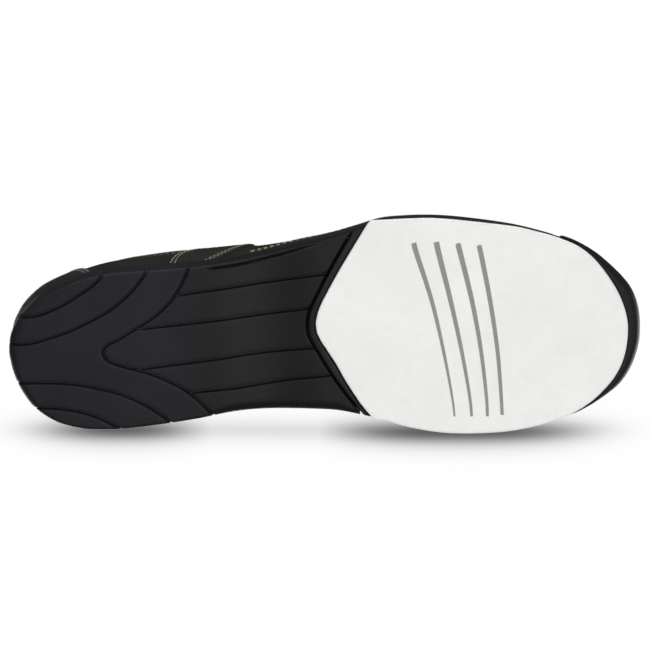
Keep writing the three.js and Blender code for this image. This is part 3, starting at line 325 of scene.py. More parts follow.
def make(name, points, faces, mat, uv=None, attrs=None, weld=None, sharp=None):
    """Mesh object from points in mm and a list of face index arrays; uv in mm per point.

    weld merges points that fall in the same cell of that size; sharp is an edge angle in degrees.
    """
    points = np.asarray(points, float)
    attrs = attrs or {}
    remap = np.arange(len(points))
    if weld:
        key = np.round(points / weld).astype(np.int64)
        _, first, remap = np.unique(key, axis=0, return_index=True, return_inverse=True)
        remap = remap.reshape(-1)
        points = points[first]
        attrs = {key: np.asarray(a)[first] for key, a in attrs.items()}
    polys, corners = [], []
    for face in faces:
        merged = remap[face]
        keep = merged != np.roll(merged, -1, 1)
        whole = keep.all(1)
        polys.append(merged[whole])
        corners.append(face[whole])
        # quads with one merged edge become triangles
        cut = [k for k in np.flatnonzero(~whole)
               if keep[k].sum() == 3 and len(set(merged[k][keep[k]])) == 3]
        if cut:
            polys.append(np.array([merged[k][keep[k]] for k in cut]))
            corners.append(np.array([face[k][keep[k]] for k in cut]))
    used = np.zeros(len(points), bool)
    for poly in polys:
        used[poly.ravel()] = True
    new = np.cumsum(used) - 1
    points = points[used]
    loops = np.concatenate([new[poly].ravel() for poly in polys])
    sizes = np.concatenate([np.full(len(poly), poly.shape[1]) for poly in polys])
    me = bpy.data.meshes.new(name)
    me.vertices.add(len(points))
    me.vertices.foreach_set("co", to_m(points).ravel())
    me.loops.add(len(loops))
    me.loops.foreach_set("vertex_index", loops.astype(np.int32))
    me.polygons.add(len(sizes))
    me.polygons.foreach_set("loop_start", np.r_[0, np.cumsum(sizes)[:-1]].astype(np.int32))
    me.polygons.foreach_set("use_smooth", np.ones(len(sizes), bool))
    if uv is not None:
        corner = np.concatenate([c.ravel() for c in corners])
        layer = me.uv_layers.new(name="UVMap")
        layer.uv.foreach_set("vector", np.asarray(uv, float)[corner].astype(np.float32).ravel())
    for key, values in attrs.items():
        attribute = me.attributes.new(key, "FLOAT", "POINT")
        attribute.data.foreach_set("value", np.asarray(values, np.float32)[used])
    me.update(calc_edges=True)
    me.validate()
    if sharp is not None:
        me.set_sharp_from_angle(angle=math.radians(sharp))
    ob = bpy.data.objects.new(name, me)
    bpy.context.scene.collection.objects.link(ob)
    me.materials.append(mat)
    return ob


def grid_faces(cols, rows, base=0, flip=False):
    i = (np.arange(cols - 1)[:, None] * rows + np.arange(rows - 1)[None, :]).ravel() + base
    quads = np.stack([i, i + rows, i + rows + 1, i + 1], 1)
    return quads[:, ::-1] if flip else quads


def wall_faces(bottom, top):
    """Quads between two closed rows of vertex indices."""
    return np.stack([bottom, np.roll(bottom, -1), np.roll(top, -1), top], 1)


def shell_faces(cols, rows):
    """Faces of two grids of points, one behind the other, joined round their rims."""
    count = cols * rows
    idx = np.arange(count).reshape(cols, rows)
    rim = np.r_[idx[:, 0], idx[-1, 1:], idx[-2::-1, -1], idx[0, -2:0:-1]]
    return [grid_faces(cols, rows), grid_faces(cols, rows, count, True),
            wall_faces(rim, rim + count)[:, ::-1]]


def flipped(faces):
    return [face[:, ::-1] for face in faces]


def slab_parts(bottom, tris, rings, top, top_tris):
    """Closed shell: underside, rings up the side, top. Both surfaces begin with the outline."""
    count = len(rings[0])
    outline = np.arange(count)
    rows = [outline] + [len(bottom) + k * count + outline for k in range(len(rings))]
    faces = [tris[:, ::-1]] + [wall_faces(a, b) for a, b in zip(rows, rows[1:])]
    rest = len(bottom) + len(rings) * count + np.arange(len(top) - count)
    faces.append(np.r_[rows[-1], rest][top_tris])
    return np.vstack([bottom, *rings, top[count:]]), faces


def tube_parts(rings, along, around, tips=None):
    """Points, uv and faces of a tube. Its first column is doubled, so the seam keeps its own uv.

    tips are the two end points; without them the last ring is joined to the first.
    """
    count, wide = len(rings), rings.shape[1] + 1
    points = np.concatenate([rings, rings[:, :1]], 1).reshape(-1, 3)
    uv = np.stack([np.repeat(along[:, None], wide, 1), np.repeat(around[None], count, 0)], -1)
    uv = uv.reshape(-1, 2)
    first = np.arange(wide - 1)
    last = first + (count - 1) * wide
    faces = [grid_faces(count, wide)]
    if tips is None:
        faces.append(np.stack([last, first, first + 1, last + 1], 1))
    else:
        tip = np.full(wide - 1, len(points))
        faces.append(np.stack([tip, first + 1, first], 1))
        faces.append(np.stack([tip + 1, last, last + 1], 1))
        points = np.vstack([points, tips])
        uv = np.vstack([uv, [along[0], 0], [along[-1], 0]])
    return points, uv, faces


# ------------------------------------------------------------------ shader graphs
class Value:
    """A shader output; arithmetic on it adds Math nodes."""

    def __init__(self, graph, socket):
        self.graph, self.socket = graph, socket

    def __add__(self, other):
        return self.graph.math("ADD", self, other)

    def __radd__(self, other):
        return self.graph.math("ADD", other, self)

    def __sub__(self, other):
        return self.graph.math("SUBTRACT", self, other)

    def __rsub__(self, other):
        return self.graph.math("SUBTRACT", other, self)

    def __mul__(self, other):
        return self.graph.math("MULTIPLY", self, other)

    def __truediv__(self, other):
        return self.graph.math("DIVIDE", self, other)

    def __mod__(self, other):
        return self.graph.math("MODULO", self, other)

    def __pow__(self, other):
        return self.graph.math("POWER", self, other)


class Graph:
    def __init__(self, tree):
        self.tree = tree

    def feed(self, node, inputs):
        for key, value in inputs.items():
            if isinstance(value, Value):
                self.tree.links.new(value.socket, node.inputs[key])
            else:
                node.inputs[key].default_value = value

    def node(self, kind, inputs=None, **props):
        node = self.tree.nodes.new("ShaderNode" + kind)
        for key, value in props.items():
            setattr(node, key, value)
        self.feed(node, inputs or {})
        return node

    def value(self, kind, inputs=None, output=0, **props):
        return Value(self, self.node(kind, inputs, **props).outputs[output])

    def math(self, operation, *inputs):
        return self.value("Math", dict(enumerate(inputs)), operation=operation)

    def split(self, vector):
        return [Value(self, s) for s in self.node("SeparateXYZ", {0: vector}).outputs]

    def mix_shader(self, amount, first, second):
        return self.value("MixShader", {0: amount, 1: first, 2: second})


def shade(tint, factor):
    return tuple(c * factor for c in tint)


class Material(Graph):
    """Graph round a Principled BSDF; coordinates and depths are in mm."""

    def __init__(self, name):
        self.mat = bpy.data.materials.new(name)
        self.mat.use_nodes = True
        super().__init__(self.mat.node_tree)

    def done(self, **inputs):
        """Feeds the Principled inputs, with _ for a space, and returns the material."""
        named = {key.replace("_", " "): value for key, value in inputs.items()}
        self.feed(self.tree.nodes["Principled BSDF"], named)
        return self.mat

    def func(self, operation, value):
        return self.math(operation, value, 0.0)     # the second input has no effect

    def sine(self, value):
        return self.func("SINE", value)

    def mix(self, amount, first, second):
        first, second = ((*c, 1) if isinstance(c, tuple) else c for c in (first, second))
        return self.value("Mix", {0: amount, 6: first, 7: second}, output=2, data_type="RGBA")

    def coord(self, stretch=(1, 1, 1)):
        place = self.value("TexCoord", output="Object")
        return self.value("Mapping", {"Vector": place, "Scale": shade(stretch, 1000.0)})

    def uv(self):
        return self.split(self.value("TexCoord", output="UV"))[:2]

    def noise(self, where, scale, detail=4.0, rough=0.55, warp=0.0):
        return self.value("TexNoise", {"Vector": where, "Scale": scale, "Detail": detail,
                                       "Roughness": rough, "Distortion": warp})

    def ramp(self, value, lo, hi, out=(0.0, 1.0)):
        """Smooth step from out[0] at lo to out[1] at hi."""
        return self.value("MapRange", {0: value, 1: lo, 2: hi, 3: out[0], 4: out[1]},
                          interpolation_type="SMOOTHSTEP")

    def bump(self, height, strength, depth, normal=None):
        inputs = {"Height": height, "Strength": strength, "Distance": depth * 0.001}
        if normal is not None:
            inputs["Normal"] = normal
        return self.value("Bump", inputs)

    def attr(self, name):
        return self.value("Attribute", output="Fac", attribute_name=name)

    def edge(self, lo, hi):
        """Mask of sharp edges (hi above 0.5) or creases (hi below it)."""
        return self.ramp(self.value("NewGeometry", output="Pointiness"), lo, hi)


# ------------------------------------------------------------------ materials
def rubber(name, tint, rough):
    m = Material(name)
    where = m.coord()
    big = m.noise(where, scale=0.035, detail=3)
    mid = m.noise(where, scale=0.5)
    fine = m.noise(where, scale=5.5, detail=2)
    speck = m.noise(where, scale=2.2, detail=3, rough=0.7)
    color = m.mix(m.ramp(big, lo=0.35, hi=0.7), tint, shade(tint, 1.35))
    color = m.mix(m.ramp(speck, lo=0.62, hi=0.8) * 0.25, color, shade(tint, 2.6))
    color = m.mix(m.edge(lo=0.53, hi=0.66) * 0.35, color, shade(tint, 3.0))
    # creases and groove bottoms darkened to a quarter of the tint: dirt packed in them, and painted
    # shade
    color = m.mix(m.edge(lo=0.48, hi=0.40) * 0.8, color, shade(tint, 0.25))
    # painted shade: darker forward of the heel, where the shank curves
    x = m.split(where)[0]
    color = m.mix(m.ramp(x, lo=40.0, hi=78.0), color, m.mix(0.85, color, (0.0050, 0.0050, 0.0055)))
    return m.done(Base_Color=color, Roughness=mid * 0.16 + (rough - 0.08),
                  Normal=m.bump(fine * 0.6 + mid * 0.8, strength=0.35, depth=0.05),
                  Specular_IOR_Level=0.30)


def pad_nap():
    """Off-white nap with grey bars where the "bar" attribute falls below zero."""
    m = Material("slide_nap")
    where = m.coord()
    blotch = m.noise(where, scale=0.022, rough=0.6)
    cloud = m.noise(where, scale=0.11, detail=5, rough=0.65)
    nap = m.noise(m.coord(stretch=(1, 0.45, 1)), scale=1.5, detail=5, rough=0.72, warp=0.35)
    fibre = m.noise(where, scale=4.2, detail=3, rough=0.6)
    color = m.mix(m.ramp(blotch, lo=0.3, hi=0.75), (0.888, 0.885, 0.865), (0.940, 0.940, 0.930))
    color = m.mix(m.ramp(cloud, lo=0.45, hi=0.75) * 0.35, color, (0.84, 0.837, 0.815))
    color = m.mix(m.ramp(nap, lo=0.42, hi=0.75) * 0.22, color, (0.74, 0.74, 0.725))
    wobble = (m.noise(where, scale=1.6, rough=0.7) - 0.5) * 0.38
    ink = m.ramp(m.attr("bar") + wobble, lo=0.10, hi=-0.16)
    ink = ink * m.ramp(fibre, lo=0.12, hi=0.42, out=(0.72, 0.97))
    grey = m.mix(m.ramp(nap, lo=0.3, hi=0.7), (0.238, 0.243, 0.228), (0.290, 0.295, 0.278))
    color = m.mix(ink, color, grey)
    # painted shade: greyer within 1.4 mm of the pad's edge, where it meets the rubber round it
    color = m.mix(m.ramp(m.attr("rim"), lo=1.4, hi=0.0) * 0.30, color, (0.62, 0.615, 0.59))
    return m.done(Base_Color=color, Roughness=0.96,
                  Normal=m.bump(nap + fibre * 0.5, strength=0.55, depth=0.16),
                  Sheen_Weight=0.25, Sheen_Roughness=0.6, Specular_IOR_Level=0.12)


def leather(name, tint, rough, grain, cell):
    m = Material(name)
    where = m.coord()
    cells = m.value("TexVoronoi", {"Vector": where, "Scale": 1.0 / cell, "Randomness": 1.0,
                                   "Smoothness": 0.35}, output="Distance", feature="SMOOTH_F1")
    fold = m.noise(m.coord(stretch=(0.35, 1, 1)), scale=0.16, detail=5, rough=0.62, warp=0.6)
    big = m.noise(where, scale=0.05, detail=3)
    fine = m.noise(where, scale=4.0, detail=3, rough=0.65)
    color = m.mix(m.ramp(big, lo=0.3, hi=0.75), tint, shade(tint, 1.5))
    color = m.mix(m.ramp(cells, lo=0.25, hi=0.75) * 0.45, color, shade(tint, 0.45))
    color = m.mix(m.ramp(m.attr("rim"), lo=0.75, hi=0.1) * 0.5, color, shade(tint, 2.2))
    color = m.mix(m.edge(lo=0.54, hi=0.66) * 0.3, color, shade(tint, 2.4))
    roughness = m.ramp(cells, lo=0.1, hi=0.8) * 0.16 + (fine * 0.14 + (rough - 0.12))
    height = (1.0 - cells) * (0.7 * grain) + fine * 0.22
    grained = m.bump(height, strength=0.55, depth=0.14)
    return m.done(Base_Color=color, Roughness=roughness,
                  Normal=m.bump(fold, strength=0.30, depth=0.7, normal=grained),
                  Specular_IOR_Level=0.32)


def wave_per(period):
    return 2 * math.pi / period


def open_mesh():
    """Close knit with staggered rows of small open cells."""
    m = Material("technical_mesh")
    u, v = m.uv()
    pitch, row_ratio = 2.3, 0.866
    knit_u_period, knit_v_period = 0.46, 0.52
    across, up = u / pitch, v / (pitch * row_ratio)
    shift = (m.func("FLOOR", up) % 2.0) * 0.5
    cell_u = m.func("FRACT", across + shift) - 0.5
    cell_v = (m.func("FRACT", up) - 0.5) * row_ratio
    solid = m.ramp(m.func("SQRT", cell_u * cell_u + cell_v * cell_v), lo=0.20, hi=0.34)
    knit_u = m.sine(u * wave_per(knit_u_period))
    knit_v = m.sine((v + knit_u * 0.05) * wave_per(knit_v_period))
    knit = (knit_u * knit_v + 1.0) * 0.5
    fuzz = m.noise(m.coord(), scale=3.0, rough=0.65)
    height = solid * 0.75 + knit * (solid * 0.3)
    # painted shade: the open cells are near-black, for the shaded hollow behind each cell
    color = m.mix(solid, (0.0028, 0.0028, 0.0030), (0.0155, 0.0155, 0.0165))
    color = m.mix(m.ramp(knit, lo=0.3, hi=0.9) * (solid * 0.45), color, (0.034, 0.034, 0.036))
    color = m.mix(m.ramp(fuzz, lo=0.5, hi=0.8) * 0.2, color, (0.045, 0.045, 0.047))
    return m.done(Base_Color=color, Roughness=0.88,
                  Normal=m.bump(height, strength=0.9, depth=0.34),
                  Sheen_Weight=0.12, Sheen_Roughness=0.5, Specular_IOR_Level=0.15)


def lining(name, tint, pitch=0.62):
    """Over-and-under weave with fuzz."""
    m = Material(name)
    u, v = (axis * wave_per(pitch) for axis in m.uv())
    check = m.sine(u * 0.5) * m.sine(v * 0.5)
    warp, weft = (m.func("ABSOLUTE", m.sine(axis * 0.5)) for axis in (u, v))
    over = m.ramp(check, lo=-0.25, hi=0.25)
    weave = warp * over + weft * (1.0 - over)
    fuzz = m.noise(m.coord(), scale=2.4, rough=0.7)
    big = m.noise(m.coord(), scale=0.07, detail=3)
    color = m.mix(over, tint, shade(tint, 1.55))
    color = m.mix(m.ramp(fuzz, lo=0.45, hi=0.8) * 0.4, color, shade(tint, 2.6))
    color = m.mix(m.ramp(big, lo=0.4, hi=0.7) * 0.25, color, shade(tint, 0.6))
    return m.done(Base_Color=color, Roughness=0.93,
                  Normal=m.bump(weave * 0.6 + fuzz * 0.5, strength=0.6, depth=0.16),
                  Sheen_Weight=0.35, Sheen_Roughness=0.45, Specular_IOR_Level=0.12)


def thread():
    m = Material("waxed_thread")
    where = m.coord()
    ply = m.value("TexWave", {"Vector": where, "Scale": 1.1, "Distortion": 2.0}, output=1,
                  wave_type="BANDS", bands_direction="DIAGONAL")
    dirt = m.noise(where, scale=0.25, detail=3)
    color = m.mix(ply, (0.27, 0.215, 0.135), (0.43, 0.355, 0.24))
    color = m.mix(m.ramp(dirt, lo=0.42, hi=0.7) * 0.5, color, (0.15, 0.12, 0.08))
    return m.done(Base_Color=color, Roughness=0.55, Normal=m.bump(ply, strength=0.4, depth=0.08))


def braid():
    """Flat braid: chevrons of fine yarn, u along the lace and v across."""
    m = Material("braided_lace")
    u, v = m.uv()
    wave = wave_per(1.15)
    rib, slant = 1.6, 1.3       # width of one chevron in mm, and its slope
    offset = 40.0               # keeps v positive
    zigzag = m.func("ABSOLUTE", (v + offset) % rib - rib / 2)
    strand = m.sine((u + zigzag * slant) * wave)
    yarn = m.sine((u - zigzag * slant) * (wave * 3.0))
    color = m.mix(m.ramp(strand, lo=-0.7, hi=0.6), (0.006, 0.006, 0.0065), (0.021, 0.021, 0.0225))
    color = m.mix(m.ramp(yarn, lo=0.0, hi=1.0) * 0.3, color, (0.04, 0.04, 0.042))
    return m.done(Base_Color=color, Roughness=0.78,
                  Normal=m.bump(strand * 0.5 + yarn * 0.16, strength=0.8, depth=0.22),
                  Sheen_Weight=0.3, Sheen_Roughness=0.4, Specular_IOR_Level=0.2)


def webbing():
    m = Material("webbing")
    u, v = m.uv()
    wander, rib_pitch, pick_pitch = 1.4, 0.95, 0.55
    rib = m.sine((v + m.sine(u * wave_per(wander)) * 0.10) * wave_per(rib_pitch))
    pick = m.sine(u * wave_per(pick_pitch))
    color = m.mix(m.ramp(rib, lo=-0.8, hi=0.7), (0.005, 0.005, 0.0055), (0.024, 0.024, 0.026))
    color = m.mix(m.ramp(pick, lo=0.2, hi=1) * 0.25, color, (0.045, 0.045, 0.047))
    return m.done(Base_Color=color, Roughness=0.8,
                  Normal=m.bump(rib * 0.5 + pick * 0.2, strength=0.8, depth=0.2),
                  Sheen_Weight=0.2, Specular_IOR_Level=0.2)


def enamel():
    """Black lacquer, worn to metal on scratched edges."""
    m = Material("black_lacquer")
    where = m.coord()
    scratch = m.noise(m.coord(stretch=(1, 6, 1)), scale=1.4, detail=5, rough=0.7)
    big = m.noise(where, scale=0.3, detail=2)
    worn = m.edge(lo=0.55, hi=0.62) * m.ramp(scratch, lo=0.5, hi=0.7)
    return m.done(Base_Color=m.mix(worn, (0.012, 0.012, 0.013), (0.22, 0.215, 0.205)),
                  Roughness=scratch * 0.2 + 0.2, Metallic=0.85,
                  Normal=m.bump(big, strength=0.15, depth=0.1))


def plain(name, tint, rough, scale=1.0, metal=0.0, strength=0.3, depth=0.15, spec=0.3):
    m = Material(name)
    where = m.coord()
    big = m.noise(where, scale=0.12 * scale)
    fine = m.noise(where, scale=1.8 * scale, rough=0.65)
    color = m.mix(m.ramp(big, lo=0.3, hi=0.7), tint, shade(tint, 1.25))
    color = m.mix(m.ramp(fine, lo=0.5, hi=0.8) * 0.3, color, shade(tint, 0.7))
    return m.done(Base_Color=color, Roughness=fine * 0.15 + (rough - 0.07), Metallic=metal,
                  Normal=m.bump(fine, strength, depth), Specular_IOR_Level=spec)


HEEL_RUBBER = rubber("heel_rubber", tint=(0.0082, 0.0080, 0.0122), rough=0.56)
RIB_RUBBER = rubber("rib_rubber", tint=(0.0080, 0.0077, 0.0086), rough=0.5)
PAD_NAP = pad_nap()
LEATHER = leather("quarter_leather", tint=(0.0118, 0.0112, 0.0098), rough=0.56, grain=1.0, cell=0.8)
OVERLAY = leather("overlay_leather", tint=(0.0150, 0.0142, 0.0125), rough=0.50, grain=0.75,
                  cell=0.55)
FACING = leather("collar_leather", tint=(0.0128, 0.0124, 0.0115), rough=0.54, grain=0.9, cell=0.7)
MESH = open_mesh()
LINING = lining("lining_knit", tint=(0.0165, 0.0170, 0.0195))
SOCK = lining("insole_knit", tint=(0.020, 0.0205, 0.0235), pitch=0.8)
THREAD = thread()
BRAID = braid()
WEBBING = webbing()
ENAMEL = enamel()
AGLET = plain("aglet_film", tint=(0.006, 0.006, 0.0065), rough=0.28, strength=0.12, depth=0.08,
              spec=0.5)
FOAM = plain("eva_foam", tint=(0.022, 0.022, 0.024), rough=0.85, scale=2.0, strength=0.5,
             depth=0.2, spec=0.15)
BOARD = plain("fibre_board", tint=(0.42, 0.35, 0.25), rough=0.9, scale=2.0, strength=0.6,
              depth=0.2, spec=0.15)
STEEL = plain("spring_steel", tint=(0.42, 0.43, 0.45), rough=0.34, metal=0.95, strength=0.2,
              depth=0.05)
STIFFENER = plain("stiffener_sheet", tint=(0.58, 0.53, 0.43), rough=0.8, scale=1.5, strength=0.4,
                  depth=0.12, spec=0.2)
BUMPER = rubber("bumper_rubber", tint=(0.0165, 0.0165, 0.0185), rough=0.52)

# ------------------------------------------------------------------ sole levels
SOLE = catmull(OUTLINE, True, 0.4)
PAD = catmull(PAD_OUTLINE, True, 0.4)
CUP_WALL = 3.0          # thickness of the rim that stands round the cup
JOINT_HALF = 0.62       # half the gap between the two rubbers along the chevron
PAD_TOP = 2.94          # top of the pad above the sole's underside
WALL_ROWS = 14


def spring(x):
    share = (np.asarray(x, float) - TOE_FROM) / (LENGTH - TOE_FROM)
    return TOE_SPRING * np.clip(share, 0, 2) ** 1.9


def underside(x):
    """Height of the sole's underside: toe spring, and a shallow arch at the shank."""
    x = np.asarray(x, float)
    arch = np.where((x > 97) & (x < 150), 2.0 * np.sin(np.pi * (x - 97) / 53) ** 2, 0)
    return spring(x) + arch


wall_height = table([(0, 21.5), (60, 20.5), (110, 18.8), (150, 17), (190, 15.5), (240, 15),
                     (300, 15.5)])


def wall_top(x):
    return spring(x) + wall_height(x)


def swap_columns(points):
    return [(y, x) for x, y in points]


chevron_x = table(swap_columns(CHEVRON))
pad_rear_x = table(swap_columns(PAD_REAR))
# how far the side wall leans in at its top, by x
wall_lean = table([(0, 0.5), (50, 0.35), (120, 0.5), (160, 1.2), (178, 1.9), (218, 2.0),
                   (242, 2.7), (268, 2.7), (300, 2.0)])
SOLE_NEAR = Near(close_loop(SOLE))
SOLE_INWARD = normals2(SOLE_NEAR.points, False)


def from_edge(points):
    """Distance in from the sole's outline, and the outline's inward normal there."""
    i, dist = SOLE_NEAR(points)
    return dist, SOLE_INWARD[i]


GROOVE_LINES = [catmull(points, False, 0.25) for points in HEEL_GROOVES + SHANK_GROOVES]
GROOVE_STRENGTH = np.concatenate(
    [np.ones(len(line)) for line in GROOVE_LINES[:len(HEEL_GROOVES)]]
    + [0.55 + 0.45 * smooth(0, 6, np.linspace(0, 1, len(line)) * (len(line) * 0.25))
       for line in GROOVE_LINES[len(HEEL_GROOVES):]])
GROOVE_NEAR = Near(np.vstack(GROOVE_LINES))


def rear_bottom(points):
    """Height of the rear rubber's underside, and how deep in a groove each point is (0..1)."""
    x, y = points[:, 0], points[:, 1]
    dist, _ = from_edge(points)
    lateral = y < -2
    shank = smooth(88, 104, x) * (1 - smooth(152, 168, x))
    heel = 1 - smooth(6, 26, x)
    round_wide = np.where(lateral, 1.8 + 2.0 * heel - 0.7 * shank, 1.6 + 2.0 * heel + 3.6 * shank)
    round_high = np.where(lateral, 1.4 + 1.6 * heel - 0.4 * shank, 1.6 + 1.6 * heel + 3.6 * shank)
    z = underside(x) + round_high * lip(dist, round_wide, 0.995)
    # narrow channel beside the lateral edge of the shank
    channel = np.where(lateral, smooth(93, 99, x) * (1 - smooth(140, 158, x)), 0)
    centre = 2.0 - 0.3 * smooth(110, 128, x) - 1.0 * smooth(128, 150, x)
    z += channel * 1.3 * bell(dist - centre, 0.62)
    nearest, away = GROOVE_NEAR(points)
    strength = GROOVE_STRENGTH[nearest]
    depth = strength * (1 - smooth(0.36, 0.78, away))
    z += 1.75 * depth
    z += 0.12 * strength * (1 - smooth(0.6, 1.9, away))
    return z + 0.6 * lip(chevron_x(y) - JOINT_HALF - x, 0.7), depth


def cut_outline(outline, keep, line):
    """The kept run of an outline, closed by a line across; also which points are on the outline."""
    start = next(i for i in range(len(outline)) if keep[i] and not keep[i - 1])
    run = np.roll(outline, -start, 0)[:np.argmin(np.roll(keep, -start))]
    low, high = sorted((run[0, 1], run[-1, 1]))
    middle = line[(line[:, 1] > low + 0.3) & (line[:, 1] < high - 0.3)]
    loop = np.vstack([run, middle if run[-1, 1] < run[0, 1] else middle[::-1]])
    return loop, np.arange(len(loop)) < len(run)


def rubber_slab(node, loop, on_edge, bottom, floor_height, points, mat):
    """Closed shell: carved underside, leaning side wall with a rolled lip, cup floor inside."""
    flat, tris = fill(loop, points)
    count = len(loop)
    under, groove = bottom(flat)
    x, edge, notch = loop[:, 0], on_edge.astype(float), groove[:count]
    dist, inward = from_edge(flat[:count])
    top = lerp(underside(x) + floor_height, wall_top(x),
               smooth(0.0, 0.35, np.clip(1 - dist / 3.2, 0, 1)))
    rings = []
    for j in range(1, WALL_ROWS + 1):
        share = j / WALL_ROWS
        z = lerp(under[:count], top, share)
        parting = 0.28 * bell(top - z - 2.6, 0.35)      # fine groove below the lip
        belly = 0.35 * np.sin(np.pi * share)
        groove_end = notch * 1.35 * (1 - smooth(8.0, 10.5, z - underside(x)))
        off = wall_lean(x) * share + (parting - belly + groove_end) * edge
        if j == WALL_ROWS:
            off = off + 0.45 * edge
        side = flat[:count] + inward * (off * np.clip(1 - dist / 6, 0, 1))[:, None]
        rings.append(np.c_[side, z])
    inner = insets(SOLE, (0.5, 1.2, 2.0, CUP_WALL - 0.25, CUP_WALL + 0.05, CUP_WALL + 0.35,
                          CUP_WALL + 1.2))
    inner.append(lattice(loop.min(0), loop.max(0), 5.0))
    flat2, tris2 = fill(loop, np.vstack(inner), near=0.2, cell=0.2)
    dist, inward = from_edge(flat2)
    x = flat2[:, 0]
    z = lerp(underside(x) + floor_height, wall_top(x),
             1 - smooth(CUP_WALL - 0.1, CUP_WALL + 0.2, dist))
    crown = 0.35 * np.sin(np.pi * np.clip(dist / CUP_WALL, 0, 1)) ** 0.7
    z = z + np.where(dist < CUP_WALL, crown, 0) * (dist > 0.05)
    off = (wall_lean(x) + 0.45 * (dist < 0.2)) * np.clip(1 - dist / 6, 0, 1)
    verts, faces = slab_parts(np.c_[flat, under], tris, rings,
                              np.c_[flat2 + inward * off[:, None], z], tris2)
    depth = np.zeros(len(verts))
    depth[:len(flat)] = groove
    ob = make(node + "_skin", verts, faces, mat, attrs={"groove": depth}, sharp=48)
    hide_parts(node)
    return ob


CROSS_Y = np.arange(-64, 44, 0.5)


def cross_line(x_at, shift):
    return np.stack([x_at(CROSS_Y) + shift, CROSS_Y], 1)


def groove_points(line):
    line = resample(line, 0.7)
    normal = normals2(line, False)
    return np.vstack([line + normal * off for off in (
        0, -0.3, 0.3, -0.45, 0.45, -0.6, 0.6, -0.78, 0.78, -1.1, 1.1, -1.7, 1.7)])


def build_rear_rubber():
    """Heel and shank."""
    joint_line = cross_line(chevron_x, -JOINT_HALF)
    loop, on_edge = cut_outline(SOLE, SOLE[:, 0] < chevron_x(SOLE[:, 1]) - JOINT_HALF, joint_line)
    points = insets(SOLE, (0.12, 0.3, 0.55, 0.85, 1.15, 1.45, 1.75, 2.05, 2.4, 2.8, 3.4, 4.2,
                           5.2, 6.5))
    points += [groove_points(line) for line in GROOVE_LINES]
    points += [joint_line - (off, 0) for off in (0.15, 0.4, 0.8, 1.4)]
    field = lattice((0, -60), (175, 42), 1.5)
    points.append(field[(from_edge(field)[0] > 6.9) & (GROOVE_NEAR(field)[1] > 2.0)])
    return rubber_slab("heel_outsole", loop, on_edge, rear_bottom, 5.0, np.vstack(points),
                       HEEL_RUBBER)


PAD_CLEARANCE = 0.75                # behind the pad's rear edge
TOE_BAND_X = 262                    # the recess follows the pad's outline forward of this
RECESS = inset(PAD, -0.35)
RECESS_NEAR = Near(close_loop(RECESS))


def front_bottom(points):
    """Rib behind the pad, recess that takes the pad, band round the toe; it has no grooves."""
    x, y = points[:, 0], points[:, 1]
    dist, _ = from_edge(points)
    _, away = RECESS_NEAR(points)
    signed = np.where(x < TOE_BAND_X, 9, np.where(inside(RECESS, points), away, -away))
    signed = np.minimum(signed, x - (pad_rear_x(y) - PAD_CLEARANCE))
    recess = smooth(-0.12, 0.12, signed)
    radius = 1.4 + 1.6 * smooth(TOE_BAND_X, 292, x)
    lips = 0.5 * lip(np.clip(-signed, 0, 9), 0.6)
    lips = lips + 0.5 * lip(x - (chevron_x(y) + JOINT_HALF), 0.6)
    lips = lips + radius * lip(dist, radius, 0.995)
    return underside(x) + 3.0 * recess + (1 - recess) * lips, np.zeros(len(points))


def build_front_rubber():
    joint_line = cross_line(chevron_x, JOINT_HALF)
    loop, on_edge = cut_outline(SOLE, SOLE[:, 0] > chevron_x(SOLE[:, 1]) + JOINT_HALF, joint_line)
    step_offs = (-0.9, -0.45, -0.2, -0.12, 0.12, 0.6)       # either side of the recess edge
    points = insets(SOLE, (0.15, 0.4, 0.8, 1.3, 1.9, 2.6, 3.4))
    points += [joint_line + (off, 0) for off in (0.12, 0.3, 0.6, 1.0)]
    rear_line = cross_line(pad_rear_x, -PAD_CLEARANCE)
    points += [rear_line + (off, 0) for off in step_offs]
    points += [inset(RECESS, off)[RECESS[:, 0] > 255] for off in step_offs]
    points.append(lattice((138, -62), (302, 48), 4.0))
    rib = lattice((138, -62), (180, 48), 1.2)
    points.append(rib[rib[:, 0] < pad_rear_x(rib[:, 1]) - 1.6])
    toe = lattice((255, -60), (302, 48), 1.4)
    points.append(toe[~inside(inset(PAD, -1.2), toe)])
    return rubber_slab("forefoot_outsole", loop, on_edge, front_bottom, 6.2, np.vstack(points),
                       RIB_RUBBER)


def bar_distance(flat, lines):
    """Distance outside the nearest printed bar, negative inside one."""
    result = np.full(len(flat), 9.0)
    for line, first_width, last_width in lines:
        i, _ = Near(line)(flat)
        first, last = line[0] - line[1], line[-1] - line[-2]
        beyond = np.maximum((flat - line[0]) @ (first / np.linalg.norm(first)),
                            (flat - line[-1]) @ (last / np.linalg.norm(last)))
        tangent = np.gradient(line, axis=0)[i]
        tangent = tangent / np.linalg.norm(tangent, axis=1)[:, None]
        rel = flat - line[i]
        across = np.abs(rel[:, 0] * tangent[:, 1] - rel[:, 1] * tangent[:, 0])
        half = lerp(first_width, last_width, i / (len(line) - 1)) / 2
        result = np.minimum(result, np.maximum(across - half, beyond))
    return result


